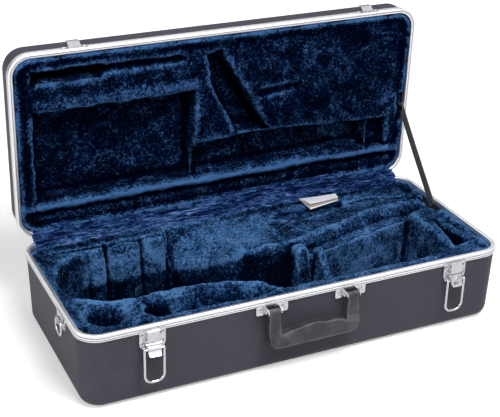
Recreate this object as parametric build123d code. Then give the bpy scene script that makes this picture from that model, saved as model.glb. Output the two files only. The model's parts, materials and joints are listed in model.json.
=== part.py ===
from build123d import *
import math
import os

# Rectangular instrument case, shown open. Millimetres, X along the front, Y to the back, Z up.
# The origin is the centre of the bottom. The lid is drawn shut and then turned to its open stop.

# Overall sizes, rim to rim
WIDTH = 640.0
DEPTH = 278.0
CORNER_R = 32.0
BASE_TOP = 115.0
SHUT_GAP = 0.3
LID_LOW = BASE_TOP + SHUT_GAP
LID_TOP = 163.0
SIDE = WIDTH / 2
BACK = DEPTH / 2
FRONT = -DEPTH / 2

# Moulded shells
WALL = 2.5
SHELL_INSET = 1.2
DRAFT = math.radians(1.5)
BASE_EDGE_R = 16.0
LID_EDGE_R = 10.0

# Aluminium rims
RIM_W = 6.2
RIM_LEG = 1.1
RIM_WEB = 2.0
BASE_RIM_H = 9.7
LID_RIM_H = 12.0
RIM_INNER_H = 8.0
GROOVE_W = 0.8
GROOVE_DEEP = 0.4
BASE_GROOVES = (1.4, 4.2)
LID_GROOVES = (5.6, 9.2)
SPLICE_X = 108.0
SPLICE_W = 36.0
SPLICE_T = 0.8
SPLICE_MARGIN = 0.6

# Hinge
HINGE_Y = BACK + 3.8
HINGE_Z = BASE_TOP - 2.8
OPEN_ANGLE = 89.0
HINGE_X = (-215.0, 0.0, 215.0)
HINGE_W = 50.0
KNUCKLES = 5
BASE_KNUCKLES = (0, 2, 4)
LID_KNUCKLES = (1, 3)
KNUCKLE_R = 3.4
KNUCKLE_GAP = 0.4
HINGE_PIN_R = 1.6
PIN_PROUD = 0.6
RUN_FIT = 0.05
LEAF_T = 1.5
LEAF_SEAT = 6.0
LEAF_WEB_IN = 1.0
LID_WEB_OFF = 0.4
BASE_LEAF_LOW = 88.0
BASE_LEAF_TOP = 108.4
LID_LEAF_LOW = 116.0
LID_LEAF_TOP = 137.0

# Front hardware, a little right of the middle
HARDWARE_X = 5.5
LATCH_X = 230.0
PLATE_T = 1.5
SEAT_DEEP = 7.0
BORE_REACH = 15.0

# Latch plate, cover and lever pivot
LATCH_PLATE_W = 36.0
LATCH_PLATE_LOW = 78.0
LATCH_PLATE_TOP = 110.0
LATCH_PLATE_R = 12.0
LATCH_PLATE_TOP_R = 1.5
PAN_MARGIN = 2.2
PAN_DEEP = 0.5
COVER_W = 17.5
COVER_LOW = 92.6
COVER_TOP = 109.5
COVER_OUT = 6.5
COVER_WALL = 1.2
COVER_TIE = (0.4, 3.0)
COVER_LAP = 0.6
LEVER_Z = 89.0
LEVER_OUT = 4.8
LEVER_PIN_R = 1.25
LEVER_W = 18.0
LEVER_BARREL_R = 3.0
LEVER_SEAT_R = 2.6
LEVER_TIP_R = 6.0
LEVER_LOW = 74.2
EAR_IN = 9.5
EAR_OUT = 10.8
EAR_R = 3.4
# The lever's curled side, as distance out from the front and height
LEVER_CURL = [
    (4.9, 87.6),
    (7.6, 88.6),
    (9.3, 85.6),
    (9.5, 81.0),
    (11.2, 77.6),
    (13.6, 75.6),
    (12.4, LEVER_LOW),
    (9.4, 75.6),
    (7.0, 79.6),
    (5.6, 82.6),
]

# Wire bail
BAIL_Z = 83.6
BAIL_OUT = 7.4
BAIL_HALF = 13.5
BAIL_WIRE_R = 1.9
BAIL_END_R = 1.4
BAIL_LONG = 50.0
BAIL_TIP = 6.2
BAIL_CORNER_R = 11.0

# Lid catches: a winged plate, and a hook whose lip holds the bail's bar
CATCH_W = 39.0
CATCH_LOW = 117.0
CATCH_TOP = 125.5
CATCH_R = 3.8
CATCH_T = 1.4
HOOK_W = 17.5
HOOK_FOOT = 119.0
HOOK_FOOT_OUT = 2.6
HOOK_KNEE = 126.5
HOOK_SHELF = 131.2
HOOK_LIP = 133.4
HOOK_OUT = 7.6
HOOK_LIP_T = 1.2
SHELF_R = 6.5

# Carrying handle
HANDLE_HALF = 69.5
HANDLE_TAPER = 2.0
HANDLE_CORNER_R = 20.0
HANDLE_ARM_X = 59.7
HANDLE_PIVOT_Z = 99.0
HANDLE_PIVOT_OUT = 8.0
HANDLE_PIN_R = 1.75
HANDLE_LOW = 41.5
HANDLE_TOP = 103.5
HANDLE_IN = 3.5
HANDLE_OUT = 12.5
HANDLE_ARM_REACH = 12.0
GRIP_OUT = 17.0
GRIP_END = 64.0
GAP_LOW_HALF = HANDLE_HALF - 20.0
GAP_TOP_HALF = HANDLE_HALF - 17.0
# The grip's top between the arms, as places along it and height: a long swell, a dip, a flat
GRIP_WAVE = [(-30.0, 67.6), (-10.0, 70.2), (4.0, 71.2), (13.0, 69.4), (32.0, 68.6)]
# The handle's side, as distance out from the front and height
HANDLE_SIDE = [
    (HANDLE_IN, HANDLE_PIVOT_Z),
    (HANDLE_OUT, HANDLE_PIVOT_Z),
    (HANDLE_OUT + 0.6, GRIP_END + 8.0),
    (GRIP_OUT, GRIP_END - 2.0),
    (GRIP_OUT, HANDLE_LOW + 5.0),
    (GRIP_OUT - 4.0, HANDLE_LOW),
    (HANDLE_IN + 3.0, HANDLE_LOW),
    (HANDLE_IN, HANDLE_LOW + 4.0),
]
BRACKET_W = 47.0
BRACKET_LOW = 93.0
BRACKET_TOP = 107.5
BRACKET_R = 2.5
BRACKET_EAR_IN = 8.9
BRACKET_EAR_OUT = 10.3
BRACKET_EAR_R = 4.6
BRACKET_PIN_PROUD = 0.4

# Carrying rings on the end walls
RING_Y = -62.0
RING_PLATE_W = 38.0
RING_PLATE_LOW = 91.0
RING_PLATE_TOP = 110.0
RING_PLATE_R = 3.0
RING_PIVOT_Z = 102.5
RING_PIVOT_OUT = 5.2
RING_WIRE_R = 1.6
RING_HALF = 11.5
RING_LONG = 20.0
RING_CORNER_R = 9.5
RING_TOP_R = 3.2
LOOP_W = 12.0
LOOP_R = 3.3

# Rivets, and their places on each plate
RIVET_R = 1.6
RIVET_HEAD_R = 3.1
RIVET_HEAD_H = 1.1
RIVET_SIDE_SHARE = 0.6
RIVET_CROWN_SHARE = 0.55
RIVET_HOLE = 0.06
RIVET_GRIP = 5.4
RIVET_SHANK = RIVET_GRIP - 0.2
BORE_OVER = 1.0
LATCH_RIVETS = [(-14.0, 101.0), (14.0, 101.0), (-14.3, 88.0), (14.3, 88.0)]
BRACKET_RIVETS = [(-16.5, 100.0), (16.5, 100.0)]
CATCH_RIVETS = [(-14.5, 121.3), (14.5, 121.3)]
RING_RIVETS = [(-13.5, 98.0), (13.5, 98.0)]
LEAF_RIVET_OFF = 18.0
BASE_LEAF_RIVET_Z = 97.5
LID_LEAF_RIVET_Z = 132.0

# Foam inserts: general heights
FOAM_INSET = 7.7
FLOOR_INSET = 21.0
FOAM_LOW = 17.0
FOAM_TOP = 104.0
FOAM_CLEAR = 1.0
SHELF_TOP = 88.0
LID_FACE = 119.0
LID_FLOOR = 150.0
LID_FLOOR_INSET = 18.0
PLAN_X = SIDE + 5.0
PLAN_Y = BACK + 5.0

# Foam inserts of the base, in plan
BELL_X = -225.0
BELL_Y = 26.0
BELL_R = 73.0
POCKET_FRONT = -48.0
LIP_EDGE = [(-126.0, POCKET_FRONT), (-72.0, -60.0), (-37.0, -75.0), (-25.0, -101.0)]
REAR_EDGE_LEFT = [
    (BELL_X, 104.0),
    (-105.0, 104.0),
    (-103.0, 96.0),
    (-60.0, 62.0),
    (-30.0, 25.0),
    (0.0, 14.0),
]
REAR_EDGE_RIGHT = [(47.0, 8.0), (114.0, 24.0), (226.0, 57.0), (PLAN_X, 57.0)]
SHELF_FRONT = [(47.0, -14.0), (108.0, -6.0), (134.0, 2.0), (264.0, 32.0), (PLAN_X, 41.0)]
SLOPE_AT = (-52.0, 108.0)
SLOPE_TURN = -38.0
SLOPE_RUN = 70.0
SLOPE_DROP = 46.0
SLOPE_HALF = 75.0
DISH_AT = (128.0, 88.0)
DISH_SIZE = (58.0, 19.0)
DISH_TURN = 6.0
DISH_DEEP = 5.0
LOBE_SPANS = ((-223.0, -204.0), (-200.5, -151.0), (-147.5, -119.0))
LOBE_DEPTH = (93.5, 104.0)
LOBE_HEIGHT = (45.0, 101.0)
LOBE_R = 6.0
BLOCK_RIGHT = -14.0
BLOCK_NOTCH_Y = -112.0
TROUGH = [(-204, -104), (-36, -104), (-44, -84), (-76, -70), (-126, -62), (-204, -62)]
TROUGH_FLOOR = 82.0
HOLE_AT = (-197.0, -87.0)
HOLE_R = 15.0
HOLE_FLOOR = 40.0
TRAY_AT = (-265.0, -77.0)
TRAY_SIZE = (24.0, 21.0)
TRAY_TURN = -20.0
TRAY_FLOOR = 80.0
RAIL_BACK = (-103.0, -99.0)
POST_X = (47.0, 68.0)
POST_Y = (-14.0, 7.0)
POST_R = 4.0
RIB_X = (80.0, 91.0)
RIB_SIDE = [(-60.0, FOAM_LOW), (-9.0, FOAM_LOW), (-9.0, 98.0), (-22.0, 96.0), (-48.0, 70.0)]
RIGHT_PAD = [(264.0, -99.5), (PLAN_X, -99.0), (PLAN_X, 41.0), (264.0, 32.0)]
WEDGE_HOLE = [(288.0, -8.0), (303.0, -84.0), (272.0, -88.0)]

# Foam inserts of the lid, in plan, as the lid lies shut
LID_LEFT = -288.0
LID_RIGHT = 284.0
LID_REAR = 99.0
LID_SPLIT = -25.0
SLOT_Y = -111.0
NECK_PAD = [
    (LID_LEFT, -92.0),
    (-184.0, -92.0),
    (-166.0, -108.0),
    (-166.0, SLOT_Y),
    (LID_SPLIT, SLOT_Y),
    (LID_SPLIT, -60.0),
    (-36.0, -49.0),
    (LID_LEFT, -49.0),
]
SLOT_END_X = (-166.5, -64.0)
SLOT_END_Y = (-111.5, -101.0)
SLOT_END_DEEP = 8.0
WEDGE_PAD = [(-48.0, -49.0), (-36.0, -49.0), (LID_SPLIT, -60.0), (-22.0, -66.0), (22.0, 23.0), (-42.0, 32.0)]
RIGHT_FIELD_IN = [(LID_RIGHT, 38.0), (77.0, 30.0), (-4.0, -108.0), (LID_SPLIT, -104.0)]
TROUGH_END = [(250.0, 36.0), (LID_RIGHT, 38.0), (LID_RIGHT, 87.0), (250.0, 87.0)]
TROUGH_END_DEEP = 13.0
ROLL_FRONT = 87.0
ROLL_R = 5.0
BORDER_LOW = 122.0

# Webbing stay
STAY_T = 2.0
STAY_W = 14.0
STAY_X = SIDE - RIM_W - STAY_T / 2 - 0.15
STAY_END = 8.0
STAY_BASE = (43.0, 110.0)
STAY_LID = (28.0, LID_LOW + 5.0)
STAY_RIVET_HEAD = 4.5
STAY_ROOM = 3.0
STAY_NOTCH_HALF = 16.0
STAY_NOTCH_LOW = 92.0
STAY_NOTCH_DEEP = 12.0

# Plush strip over the hinges, and the folded tag
STRIP_HALF = 290.0
STRIP_HALF_T = 0.8
STRIP_LINE = [(151.5, 129.0), (144.5, 123.8), (139.0, 118.5), (131.5, 116.5), (126.0, 105.0)]
TAG_PLAN = [(121.0, 121.0), (181.0, 117.0), (179.0, 102.0), (126.0, 93.0)]
TAG_LOW = 105.0
TAG_HIGH = 108.6

os.makedirs("parts", exist_ok=True)


def save(name, part):
    export_step(part, f"parts/{name}.step")


def slab(inset, low, high):
    """A prism of the case's rounded outline, set in by inset."""
    outline = RectangleRounded(WIDTH - 2 * inset, DEPTH - 2 * inset, CORNER_R - inset)
    return Pos(0, 0, low) * extrude(outline, high - low)


def band(outer, inner, low, high):
    """A closed band that follows the case's outline."""
    return slab(outer, low, high) - slab(inner, low, high)


def tapered(inset, wide_z, narrow_z):
    """The case's outline, narrowing with the mould's draft from wide_z to narrow_z."""
    deeper = inset + abs(wide_z - narrow_z) * math.tan(DRAFT)
    wide = RectangleRounded(WIDTH - 2 * inset, DEPTH - 2 * inset, CORNER_R - inset)
    narrow = RectangleRounded(WIDTH - 2 * deeper, DEPTH - 2 * deeper, CORNER_R - deeper)
    return loft([Pos(0, 0, wide_z) * wide, Pos(0, 0, narrow_z) * narrow], ruled=True)


def block(x, y, z):
    """A box from its low and high corners, given as three ranges."""
    size = Box(x[1] - x[0], y[1] - y[0], z[1] - z[0])
    return Pos((x[0] + x[1]) / 2, (y[0] + y[1]) / 2, (z[0] + z[1]) / 2) * size


def rod_x(x, y, z, radius):
    """A round rod along X, over the range x."""
    turned = Rot(0, 90, 0) * Cylinder(radius, x[1] - x[0])
    return Pos((x[0] + x[1]) / 2, y, z) * turned


def rod_y(x, y, z, radius):
    """A round rod along Y, over the range y."""
    turned = Rot(90, 0, 0) * Cylinder(radius, y[1] - y[0])
    return Pos(x, (y[0] + y[1]) / 2, z) * turned


def about(centre, reach):
    return (centre - reach, centre + reach)


def opened(part):
    """Turn a piece drawn on the shut lid to its place on the open lid."""
    return part.rotate(Axis((0, HINGE_Y, HINGE_Z), (1, 0, 0)), -OPEN_ANGLE)


def group(solids):
    return Compound(children=list(solids))


def rivet(at, outward, grip, head=RIVET_HEAD_R):
    """A rivet with its dome on the face at the point, and a shank going in by grip."""
    side = RIVET_HEAD_H * RIVET_SIDE_SHARE
    crown_h = RIVET_HEAD_H - side
    dome = Pos(0, 0, side / 2) * Cylinder(head, side)
    crown = Pos(0, 0, side + crown_h / 2) * Cone(head, head * RIVET_CROWN_SHARE, crown_h)
    shank = Pos(0, 0, -grip / 2) * Cylinder(RIVET_R, grip)
    return Plane(origin=at, z_dir=outward).location * (dome + crown + shank)


def rivets(spots, outward):
    return group(rivet(at, outward, RIVET_SHANK) for at in spots)


def drilled(part, spots, outward):
    """Clear the shanks of the rivets at these points."""
    for at in spots:
        bore = Pos(0, 0, -RIVET_GRIP / 2) * Cylinder(RIVET_R + RIVET_HOLE, RIVET_GRIP + BORE_OVER)
        part = part - Plane(origin=at, z_dir=outward).location * bore
    return part


def prism_x(points, x):
    """A profile of (y, z) points, carried along X over the range x."""
    face = make_face(Polyline(*[(0, y, z) for y, z in points], close=True))
    return Pos(x[0], 0, 0) * extrude(face, x[1] - x[0], dir=(1, 0, 0))


def prism_z(points, low, high):
    """A plan of (x, y) points, carried up from low to high."""
    return Pos(0, 0, low) * extrude(make_face(Polyline(*points, close=True)), high - low)


def out_from_front(points):
    """Points given as distance out from the front, turned into (y, z)."""
    return [(FRONT - out, z) for out, z in points]


# Outlines that the pieces outside the shells are seated on
base_rim_low = BASE_TOP - BASE_RIM_H
lid_rim_top = LID_LOW + LID_RIM_H
base_outer = tapered(SHELL_INSET, BASE_TOP - RIM_WEB, 0)
base_outer = fillet(base_outer.edges().group_by(Axis.Z)[0], BASE_EDGE_R)
lid_outer = tapered(SHELL_INSET, LID_LOW + RIM_WEB, LID_TOP)
lid_outer = fillet(lid_outer.edges().group_by(Axis.Z)[-1], LID_EDGE_R)
base_envelope = base_outer + slab(0, base_rim_low, BASE_TOP)
lid_envelope = lid_outer + slab(0, LID_LOW, lid_rim_top)

# Places of the hardware and its rivets
latch_xs = {"left": HARDWARE_X - LATCH_X, "right": HARDWARE_X + LATCH_X}
arm_xs = (HARDWARE_X - HANDLE_ARM_X, HARDWARE_X + HANDLE_ARM_X)
ring_sides = {"left": -1, "right": 1}
plate_face = FRONT - PLATE_T
facing_front = (0, -1, 0)
facing_back = (0, 1, 0)


def latch_rivets(xc):
    return [(xc + x, plate_face, z) for x, z in LATCH_RIVETS]


def bracket_rivets(xc):
    return [(xc + x, plate_face, z) for x, z in BRACKET_RIVETS]


def catch_rivets(xc):
    return [(xc + x, FRONT - CATCH_T, z) for x, z in CATCH_RIVETS]


def ring_rivets(side):
    return [(side * (SIDE + PLATE_T), RING_Y + y, z) for y, z in RING_RIVETS]


def leaf_rivets(z):
    offsets = (-LEAF_RIVET_OFF, LEAF_RIVET_OFF)
    return [(x + off, BACK + LEAF_T, z) for x in HINGE_X for off in offsets]


bracket_spots = [s for x in arm_xs for s in bracket_rivets(x)]
front_spots = [s for x in latch_xs.values() for s in latch_rivets(x)] + bracket_spots
base_leaf_spots = leaf_rivets(BASE_LEAF_RIVET_Z)
lid_leaf_spots = leaf_rivets(LID_LEAF_RIVET_Z)
catch_spots = [s for x in latch_xs.values() for s in catch_rivets(x)]


def hollowed(outer, wide_z, narrow_z, edge_r, end):
    """A shell: the drafted outer form less the same form set in by the wall."""
    inner = tapered(SHELL_INSET + WALL, wide_z, narrow_z)
    inner = fillet(inner.edges().group_by(Axis.Z)[end], edge_r - WALL)
    return outer - inner


def base_shell():
    shell = hollowed(base_outer, BASE_TOP - RIM_WEB, WALL, BASE_EDGE_R, 0)
    shell = drilled(shell, front_spots, facing_front)
    shell = drilled(shell, base_leaf_spots, facing_back)
    for side in ring_sides.values():
        shell = drilled(shell, ring_rivets(side), (side, 0, 0))
    return shell


def lid_shell():
    shell = hollowed(lid_outer, LID_LOW + RIM_WEB, LID_TOP - WALL, LID_EDGE_R, -1)
    shell = drilled(shell, catch_spots, facing_front)
    return drilled(shell, lid_leaf_spots, facing_back)


def rim(low, high, web_low, inner_low, inner_high, groove_zs):
    """An extruded valance: outer leg, web across the shell's edge, shorter inner leg."""
    whole = band(0, RIM_LEG, low, high)
    whole = whole + band(0, RIM_W, web_low, web_low + RIM_WEB)
    whole = whole + band(RIM_W - RIM_LEG, RIM_W, inner_low, inner_high)
    for z in groove_zs:
        whole = whole - band(0, GROOVE_DEEP, z, z + GROOVE_W)
    return whole


def stay_hole(y, z):
    """Clears the stay's rivet through a rim's inner leg."""
    reach = (SIDE - RIM_W - STAY_T, SIDE - SHELL_INSET - WALL)
    return rod_x(reach, y, z, RIVET_R + RIVET_HOLE)


def base_rim():
    grooves = [base_rim_low + up for up in BASE_GROOVES]
    inner_low = BASE_TOP - RIM_INNER_H
    part = rim(base_rim_low, BASE_TOP, BASE_TOP - RIM_WEB, inner_low, BASE_TOP, grooves)
    return part - stay_hole(*STAY_BASE)


def lid_rim():
    grooves = [LID_LOW + up for up in LID_GROOVES]
    part = rim(LID_LOW, lid_rim_top, LID_LOW, LID_LOW, LID_LOW + RIM_INNER_H, grooves)
    part = drilled(part, catch_spots, facing_front)
    return part - stay_hole(*STAY_LID)


def splice(low, high):
    """The plate over the joint in a rim, on the back between two hinges."""
    tall = (low + SPLICE_MARGIN, high - SPLICE_MARGIN)
    return block(about(SPLICE_X, SPLICE_W / 2), (BACK, BACK + SPLICE_T), tall)


def knuckle(x, index):
    """One knuckle of a hinge, counted from its left end."""
    long = HINGE_W / KNUCKLES
    low = x - HINGE_W / 2 + index * long + KNUCKLE_GAP / 2
    return (low, low + long - KNUCKLE_GAP)


def leaf(x, low, high, web, own, bore, envelope):
    """A hinge leaf: plate, and the knuckles in own joined to it by short webs."""
    plate = block(about(x, HINGE_W / 2), (BACK - LEAF_SEAT, BACK + LEAF_T), (low, high))
    plate = plate - envelope
    for index in own:
        span = knuckle(x, index)
        roll = rod_x(span, HINGE_Y, HINGE_Z, KNUCKLE_R)
        plate = plate + roll + block(span, web[0], web[1])
    return plate - rod_x(about(x, HINGE_W), HINGE_Y, HINGE_Z, bore)


def hinge_base_leaves():
    web = ((BACK, HINGE_Y), (BASE_LEAF_TOP - LEAF_WEB_IN, HINGE_Z))
    leaves = []
    for x in HINGE_X:
        one = leaf(x, BASE_LEAF_LOW, BASE_LEAF_TOP, web, BASE_KNUCKLES, HINGE_PIN_R, base_envelope)
        leaves.append(drilled(one, base_leaf_spots, facing_back))
    return group(leaves)


def hinge_lid_leaves():
    web = ((BACK + LID_WEB_OFF, HINGE_Y), (HINGE_Z, LID_LEAF_LOW + LEAF_WEB_IN))
    bore = HINGE_PIN_R + RUN_FIT
    leaves = []
    for x in HINGE_X:
        one = leaf(x, LID_LEAF_LOW, LID_LEAF_TOP, web, LID_KNUCKLES, bore, lid_envelope)
        leaves.append(drilled(one, lid_leaf_spots, facing_back))
    return group(leaves)


def hinge_pins():
    reach = HINGE_W / 2 + PIN_PROUD
    return group(rod_x(about(x, reach), HINGE_Y, HINGE_Z, HINGE_PIN_R) for x in HINGE_X)


def latch_plate(xc):
    """A pressed plate, rounded at its lower corners, seated on the rim and the shell."""
    middle = (LATCH_PLATE_LOW + LATCH_PLATE_TOP) / 2
    face = Rectangle(LATCH_PLATE_W, LATCH_PLATE_TOP - LATCH_PLATE_LOW)
    face = fillet(face.vertices().group_by(Axis.Y)[0], LATCH_PLATE_R)
    face = fillet(face.vertices().group_by(Axis.Y)[-1], LATCH_PLATE_TOP_R)
    pan = offset(face, -PAN_MARGIN)
    place = Plane(origin=(xc, plate_face, middle), x_dir=(1, 0, 0), z_dir=facing_front).location
    plate = place * extrude(face, -SEAT_DEEP)
    plate = plate - place * extrude(pan, -PAN_DEEP)
    return drilled(plate - base_envelope, latch_rivets(xc), facing_front)


def latch_cover(xc):
    """The square pressed housing, with two ears that carry the lever's pin."""
    floor = plate_face + PAN_DEEP
    front = FRONT - COVER_OUT
    pivot = FRONT - LEVER_OUT
    cap = block(about(xc, COVER_W / 2), (front, floor), (COVER_LOW, COVER_TOP))
    cap = fillet(cap.edges().group_by(Axis.Y)[0], COVER_WALL)
    inside_y = (front + COVER_WALL, floor + COVER_WALL)
    inside_z = (COVER_LOW - COVER_WALL, COVER_TOP - COVER_WALL)
    cover = cap - block(about(xc, COVER_W / 2 - COVER_WALL), inside_y, inside_z)
    tie_low, tie_top = (COVER_LOW + up for up in COVER_TIE)
    for side in (-1, 1):
        span = sorted((xc + side * EAR_IN, xc + side * EAR_OUT))
        ear = rod_x(span, pivot, LEVER_Z, EAR_R)
        stem = block(span, (pivot, floor), (LEVER_Z - EAR_R, tie_top))
        inner = sorted((xc + side * (COVER_W / 2 - COVER_LAP), xc + side * EAR_OUT))
        cover = cover + ear + stem + block(inner, (pivot, floor), (tie_low, tie_top))
    cover = cover - latch_plate(xc)
    return cover - rod_x(about(xc, BORE_REACH), pivot, LEVER_Z, LEVER_PIN_R)


def latch_pin(xc):
    return rod_x(about(xc, EAR_OUT), FRONT - LEVER_OUT, LEVER_Z, LEVER_PIN_R)


def latch_lever(xc):
    """The lever: a barrel on the pin, a seat for the bail's ends, and a curled tongue."""
    span = about(xc, LEVER_W / 2)
    tall = 2 * (LEVER_Z + LEVER_BARREL_R - LEVER_LOW)
    outline = Rectangle(LEVER_W, tall)
    outline = fillet(outline.vertices().group_by(Axis.Y)[0], LEVER_TIP_R)
    middle = (xc, FRONT, LEVER_LOW + tall / 2)
    place = Plane(origin=middle, x_dir=(1, 0, 0), z_dir=facing_front).location
    tongue = prism_x(out_from_front(LEVER_CURL), span) & place * extrude(outline, GRIP_OUT)
    lever = tongue + rod_x(span, FRONT - LEVER_OUT, LEVER_Z, LEVER_BARREL_R)
    lever = lever + rod_x(span, FRONT - BAIL_OUT, BAIL_Z, LEVER_SEAT_R)
    reach = about(xc, BORE_REACH)
    lever = lever - rod_x(reach, FRONT - LEVER_OUT, LEVER_Z, LEVER_PIN_R + RUN_FIT)
    return lever - rod_x(reach, FRONT - BAIL_OUT, BAIL_Z, BAIL_END_R + RUN_FIT)


def latch_bail(xc):
    """The wire bail: a deep U whose ends turn in to the lever."""
    foot = BAIL_Z - BAIL_LONG
    y = FRONT - BAIL_OUT
    path = FilletPolyline(
        (xc - BAIL_HALF, y, BAIL_Z),
        (xc - BAIL_HALF, y, foot),
        (xc + BAIL_HALF, y, foot),
        (xc + BAIL_HALF, y, BAIL_Z),
        radius=BAIL_CORNER_R,
    )
    start = Plane(origin=path @ 0, z_dir=path % 0)
    bail = sweep(start * Circle(BAIL_WIRE_R), path=path)
    for side in (-1, 1):
        corner = Pos(xc + side * BAIL_HALF, y, BAIL_Z) * Sphere(BAIL_WIRE_R)
        span = sorted((xc + side * BAIL_TIP, xc + side * BAIL_HALF))
        bail = bail + corner + rod_x(span, y, BAIL_Z, BAIL_END_R)
    return bail


def on_front(face, xc, middle, out):
    """A flat shape raised by out from the front, with its centre at this place."""
    place = Plane(origin=(xc, FRONT, middle), x_dir=(1, 0, 0), z_dir=facing_front).location
    return place * extrude(face, out)


def lid_catch(xc):
    """A winged plate on the lid's rim, with a lipped hook whose shelf fits inside the bail."""
    face = Rectangle(CATCH_W, CATCH_TOP - CATCH_LOW)
    face = fillet(face.vertices(), CATCH_R)
    plate = on_front(face, xc, (CATCH_LOW + CATCH_TOP) / 2, CATCH_T)
    side = [
        (0, HOOK_FOOT),
        (HOOK_FOOT_OUT, HOOK_FOOT),
        (HOOK_OUT, HOOK_KNEE),
        (HOOK_OUT, HOOK_LIP),
        (0, HOOK_LIP),
    ]
    hook = prism_x(out_from_front(side), about(xc, HOOK_W / 2))
    shelf = Rectangle(HOOK_W, HOOK_SHELF - HOOK_FOOT)
    shelf = fillet(shelf.vertices().group_by(Axis.Y)[-1], SHELF_R)
    shelf = on_front(shelf, xc, (HOOK_SHELF + HOOK_FOOT) / 2, HOOK_OUT)
    behind_lip = (FRONT - HOOK_OUT + HOOK_LIP_T, FRONT)
    seat = block(about(xc, HOOK_W / 2), behind_lip, (HOOK_FOOT, HOOK_LIP)) - shelf
    return drilled(plate + (hook - seat), catch_rivets(xc), facing_front)


def handle_bracket(xc):
    """A seated plate with two ears, one each side of the handle's arm."""
    y = FRONT - HANDLE_PIVOT_OUT
    deep = (plate_face, plate_face + SEAT_DEEP)
    plate = block(about(xc, BRACKET_W / 2), deep, (BRACKET_LOW, BRACKET_TOP))
    plate = fillet(plate.edges().filter_by(Axis.Y), BRACKET_R) - base_envelope
    for side in (-1, 1):
        span = sorted((xc + side * BRACKET_EAR_IN, xc + side * BRACKET_EAR_OUT))
        ear = rod_x(span, y, HANDLE_PIVOT_Z, BRACKET_EAR_R)
        plate = plate + ear + block(span, (y, plate_face), about(HANDLE_PIVOT_Z, BRACKET_EAR_R))
    bore = rod_x(about(xc, BORE_REACH), y, HANDLE_PIVOT_Z, HANDLE_PIN_R)
    return drilled(plate - bore, bracket_rivets(xc), facing_front)


def handle_pin(xc):
    span = about(xc, BRACKET_EAR_OUT + BRACKET_PIN_PROUD)
    return rod_x(span, FRONT - HANDLE_PIVOT_OUT, HANDLE_PIVOT_Z, HANDLE_PIN_R)


def handle_outline():
    """The handle seen from the front: a frame whose lower bar swells into a grip."""
    outer = Polyline(
        (HANDLE_TAPER - HANDLE_HALF, HANDLE_TOP),
        (-HANDLE_HALF, HANDLE_LOW),
        (HANDLE_HALF, HANDLE_LOW),
        (HANDLE_HALF - HANDLE_TAPER, HANDLE_TOP),
        close=True,
    )
    outer = make_face(outer)
    outer = fillet(outer.vertices().group_by(Axis.Y)[0], HANDLE_CORNER_R)
    swell = Spline((-GAP_LOW_HALF, GRIP_END), *GRIP_WAVE, (GAP_LOW_HALF, GRIP_END))
    over = HANDLE_TOP + HANDLE_TAPER
    sides = Polyline(
        (GAP_LOW_HALF, GRIP_END),
        (GAP_TOP_HALF, over),
        (-GAP_TOP_HALF, over),
        (-GAP_LOW_HALF, GRIP_END),
    )
    return outer - make_face(swell + sides)


def handle():
    """The moulded handle: two arms that widen down to a thick grip with a swelled top."""
    place = Plane(origin=(HARDWARE_X, FRONT, 0), x_dir=(1, 0, 0), z_dir=facing_front).location
    front = place * extrude(handle_outline(), 2 * GRIP_OUT)
    side = prism_x(out_from_front(HANDLE_SIDE), about(HARDWARE_X, HANDLE_HALF + 1))
    eye_r = (HANDLE_OUT - HANDLE_IN) / 2
    y = FRONT - HANDLE_PIVOT_OUT
    for xc in arm_xs:
        side = side + rod_x(about(xc, HANDLE_ARM_REACH), y, HANDLE_PIVOT_Z, eye_r)
    body = front & side
    for xc in arm_xs:
        body = body - rod_x(about(xc, BORE_REACH), y, HANDLE_PIVOT_Z, HANDLE_PIN_R + RUN_FIT)
    return body


def ring_plate(side):
    """A riveted plate on an end wall, with a rolled loop that holds the ring's bar."""
    face = side * (SIDE + PLATE_T)
    x = side * (SIDE + RING_PIVOT_OUT)
    wall = sorted((face, face - side * SEAT_DEEP))
    plate = block(wall, about(RING_Y, RING_PLATE_W / 2), (RING_PLATE_LOW, RING_PLATE_TOP))
    plate = fillet(plate.edges().filter_by(Axis.X), RING_PLATE_R) - base_envelope
    span = about(RING_Y, LOOP_W / 2)
    roll = rod_y(x, span, RING_PIVOT_Z, LOOP_R)
    stem = block(sorted((x, face)), span, about(RING_PIVOT_Z, LOOP_R))
    bore = rod_y(x, about(RING_Y, LOOP_W), RING_PIVOT_Z, RING_WIRE_R + RUN_FIT)
    return drilled(plate + roll + stem - bore, ring_rivets(side), (side, 0, 0))


def ring(side):
    """The carrying ring: round wire with a straight bar on top and a rounded foot."""
    x = side * (SIDE + RING_PIVOT_OUT)
    line = Rectangle(2 * RING_HALF, RING_LONG)
    line = fillet(line.vertices().group_by(Axis.Y)[0], RING_CORNER_R)
    line = fillet(line.vertices().group_by(Axis.Y)[-1], RING_TOP_R)
    middle = RING_PIVOT_Z - RING_LONG / 2
    place = Plane(origin=(x, RING_Y, middle), x_dir=(0, 1, 0), z_dir=(1, 0, 0))
    path = (place.location * line).face().outer_wire()
    start = Plane(origin=path @ 0, z_dir=path % 0)
    return sweep(start * Circle(RING_WIRE_R), path=path)


def stay_line():
    """The stay's two rivets, base and lid, as (y, z) at the open stop."""
    y, z = STAY_LID[0] - HINGE_Y, STAY_LID[1] - HINGE_Z
    turn = math.radians(OPEN_ANGLE)
    high_y = HINGE_Y + y * math.cos(turn) + z * math.sin(turn)
    high_z = HINGE_Z - y * math.sin(turn) + z * math.cos(turn)
    return STAY_BASE, (high_y, high_z)


def stay_strap():
    """Flat webbing on edge inside the right rims, pulled straight by the open lid."""
    (y0, z0), (y1, z1) = stay_line()
    long = math.hypot(y1 - y0, z1 - z0)
    strap = Box(STAY_T, long + 2 * STAY_END, STAY_W)
    lean = math.degrees(math.atan2(z1 - z0, y1 - y0))
    strap = Pos(STAY_X, (y0 + y1) / 2, (z0 + z1) / 2) * Rot(lean, 0, 0) * strap
    for y, z in stay_line():
        strap = strap - rod_x(about(STAY_X, STAY_W), y, z, RIVET_R + RIVET_HOLE)
    return strap


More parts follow.
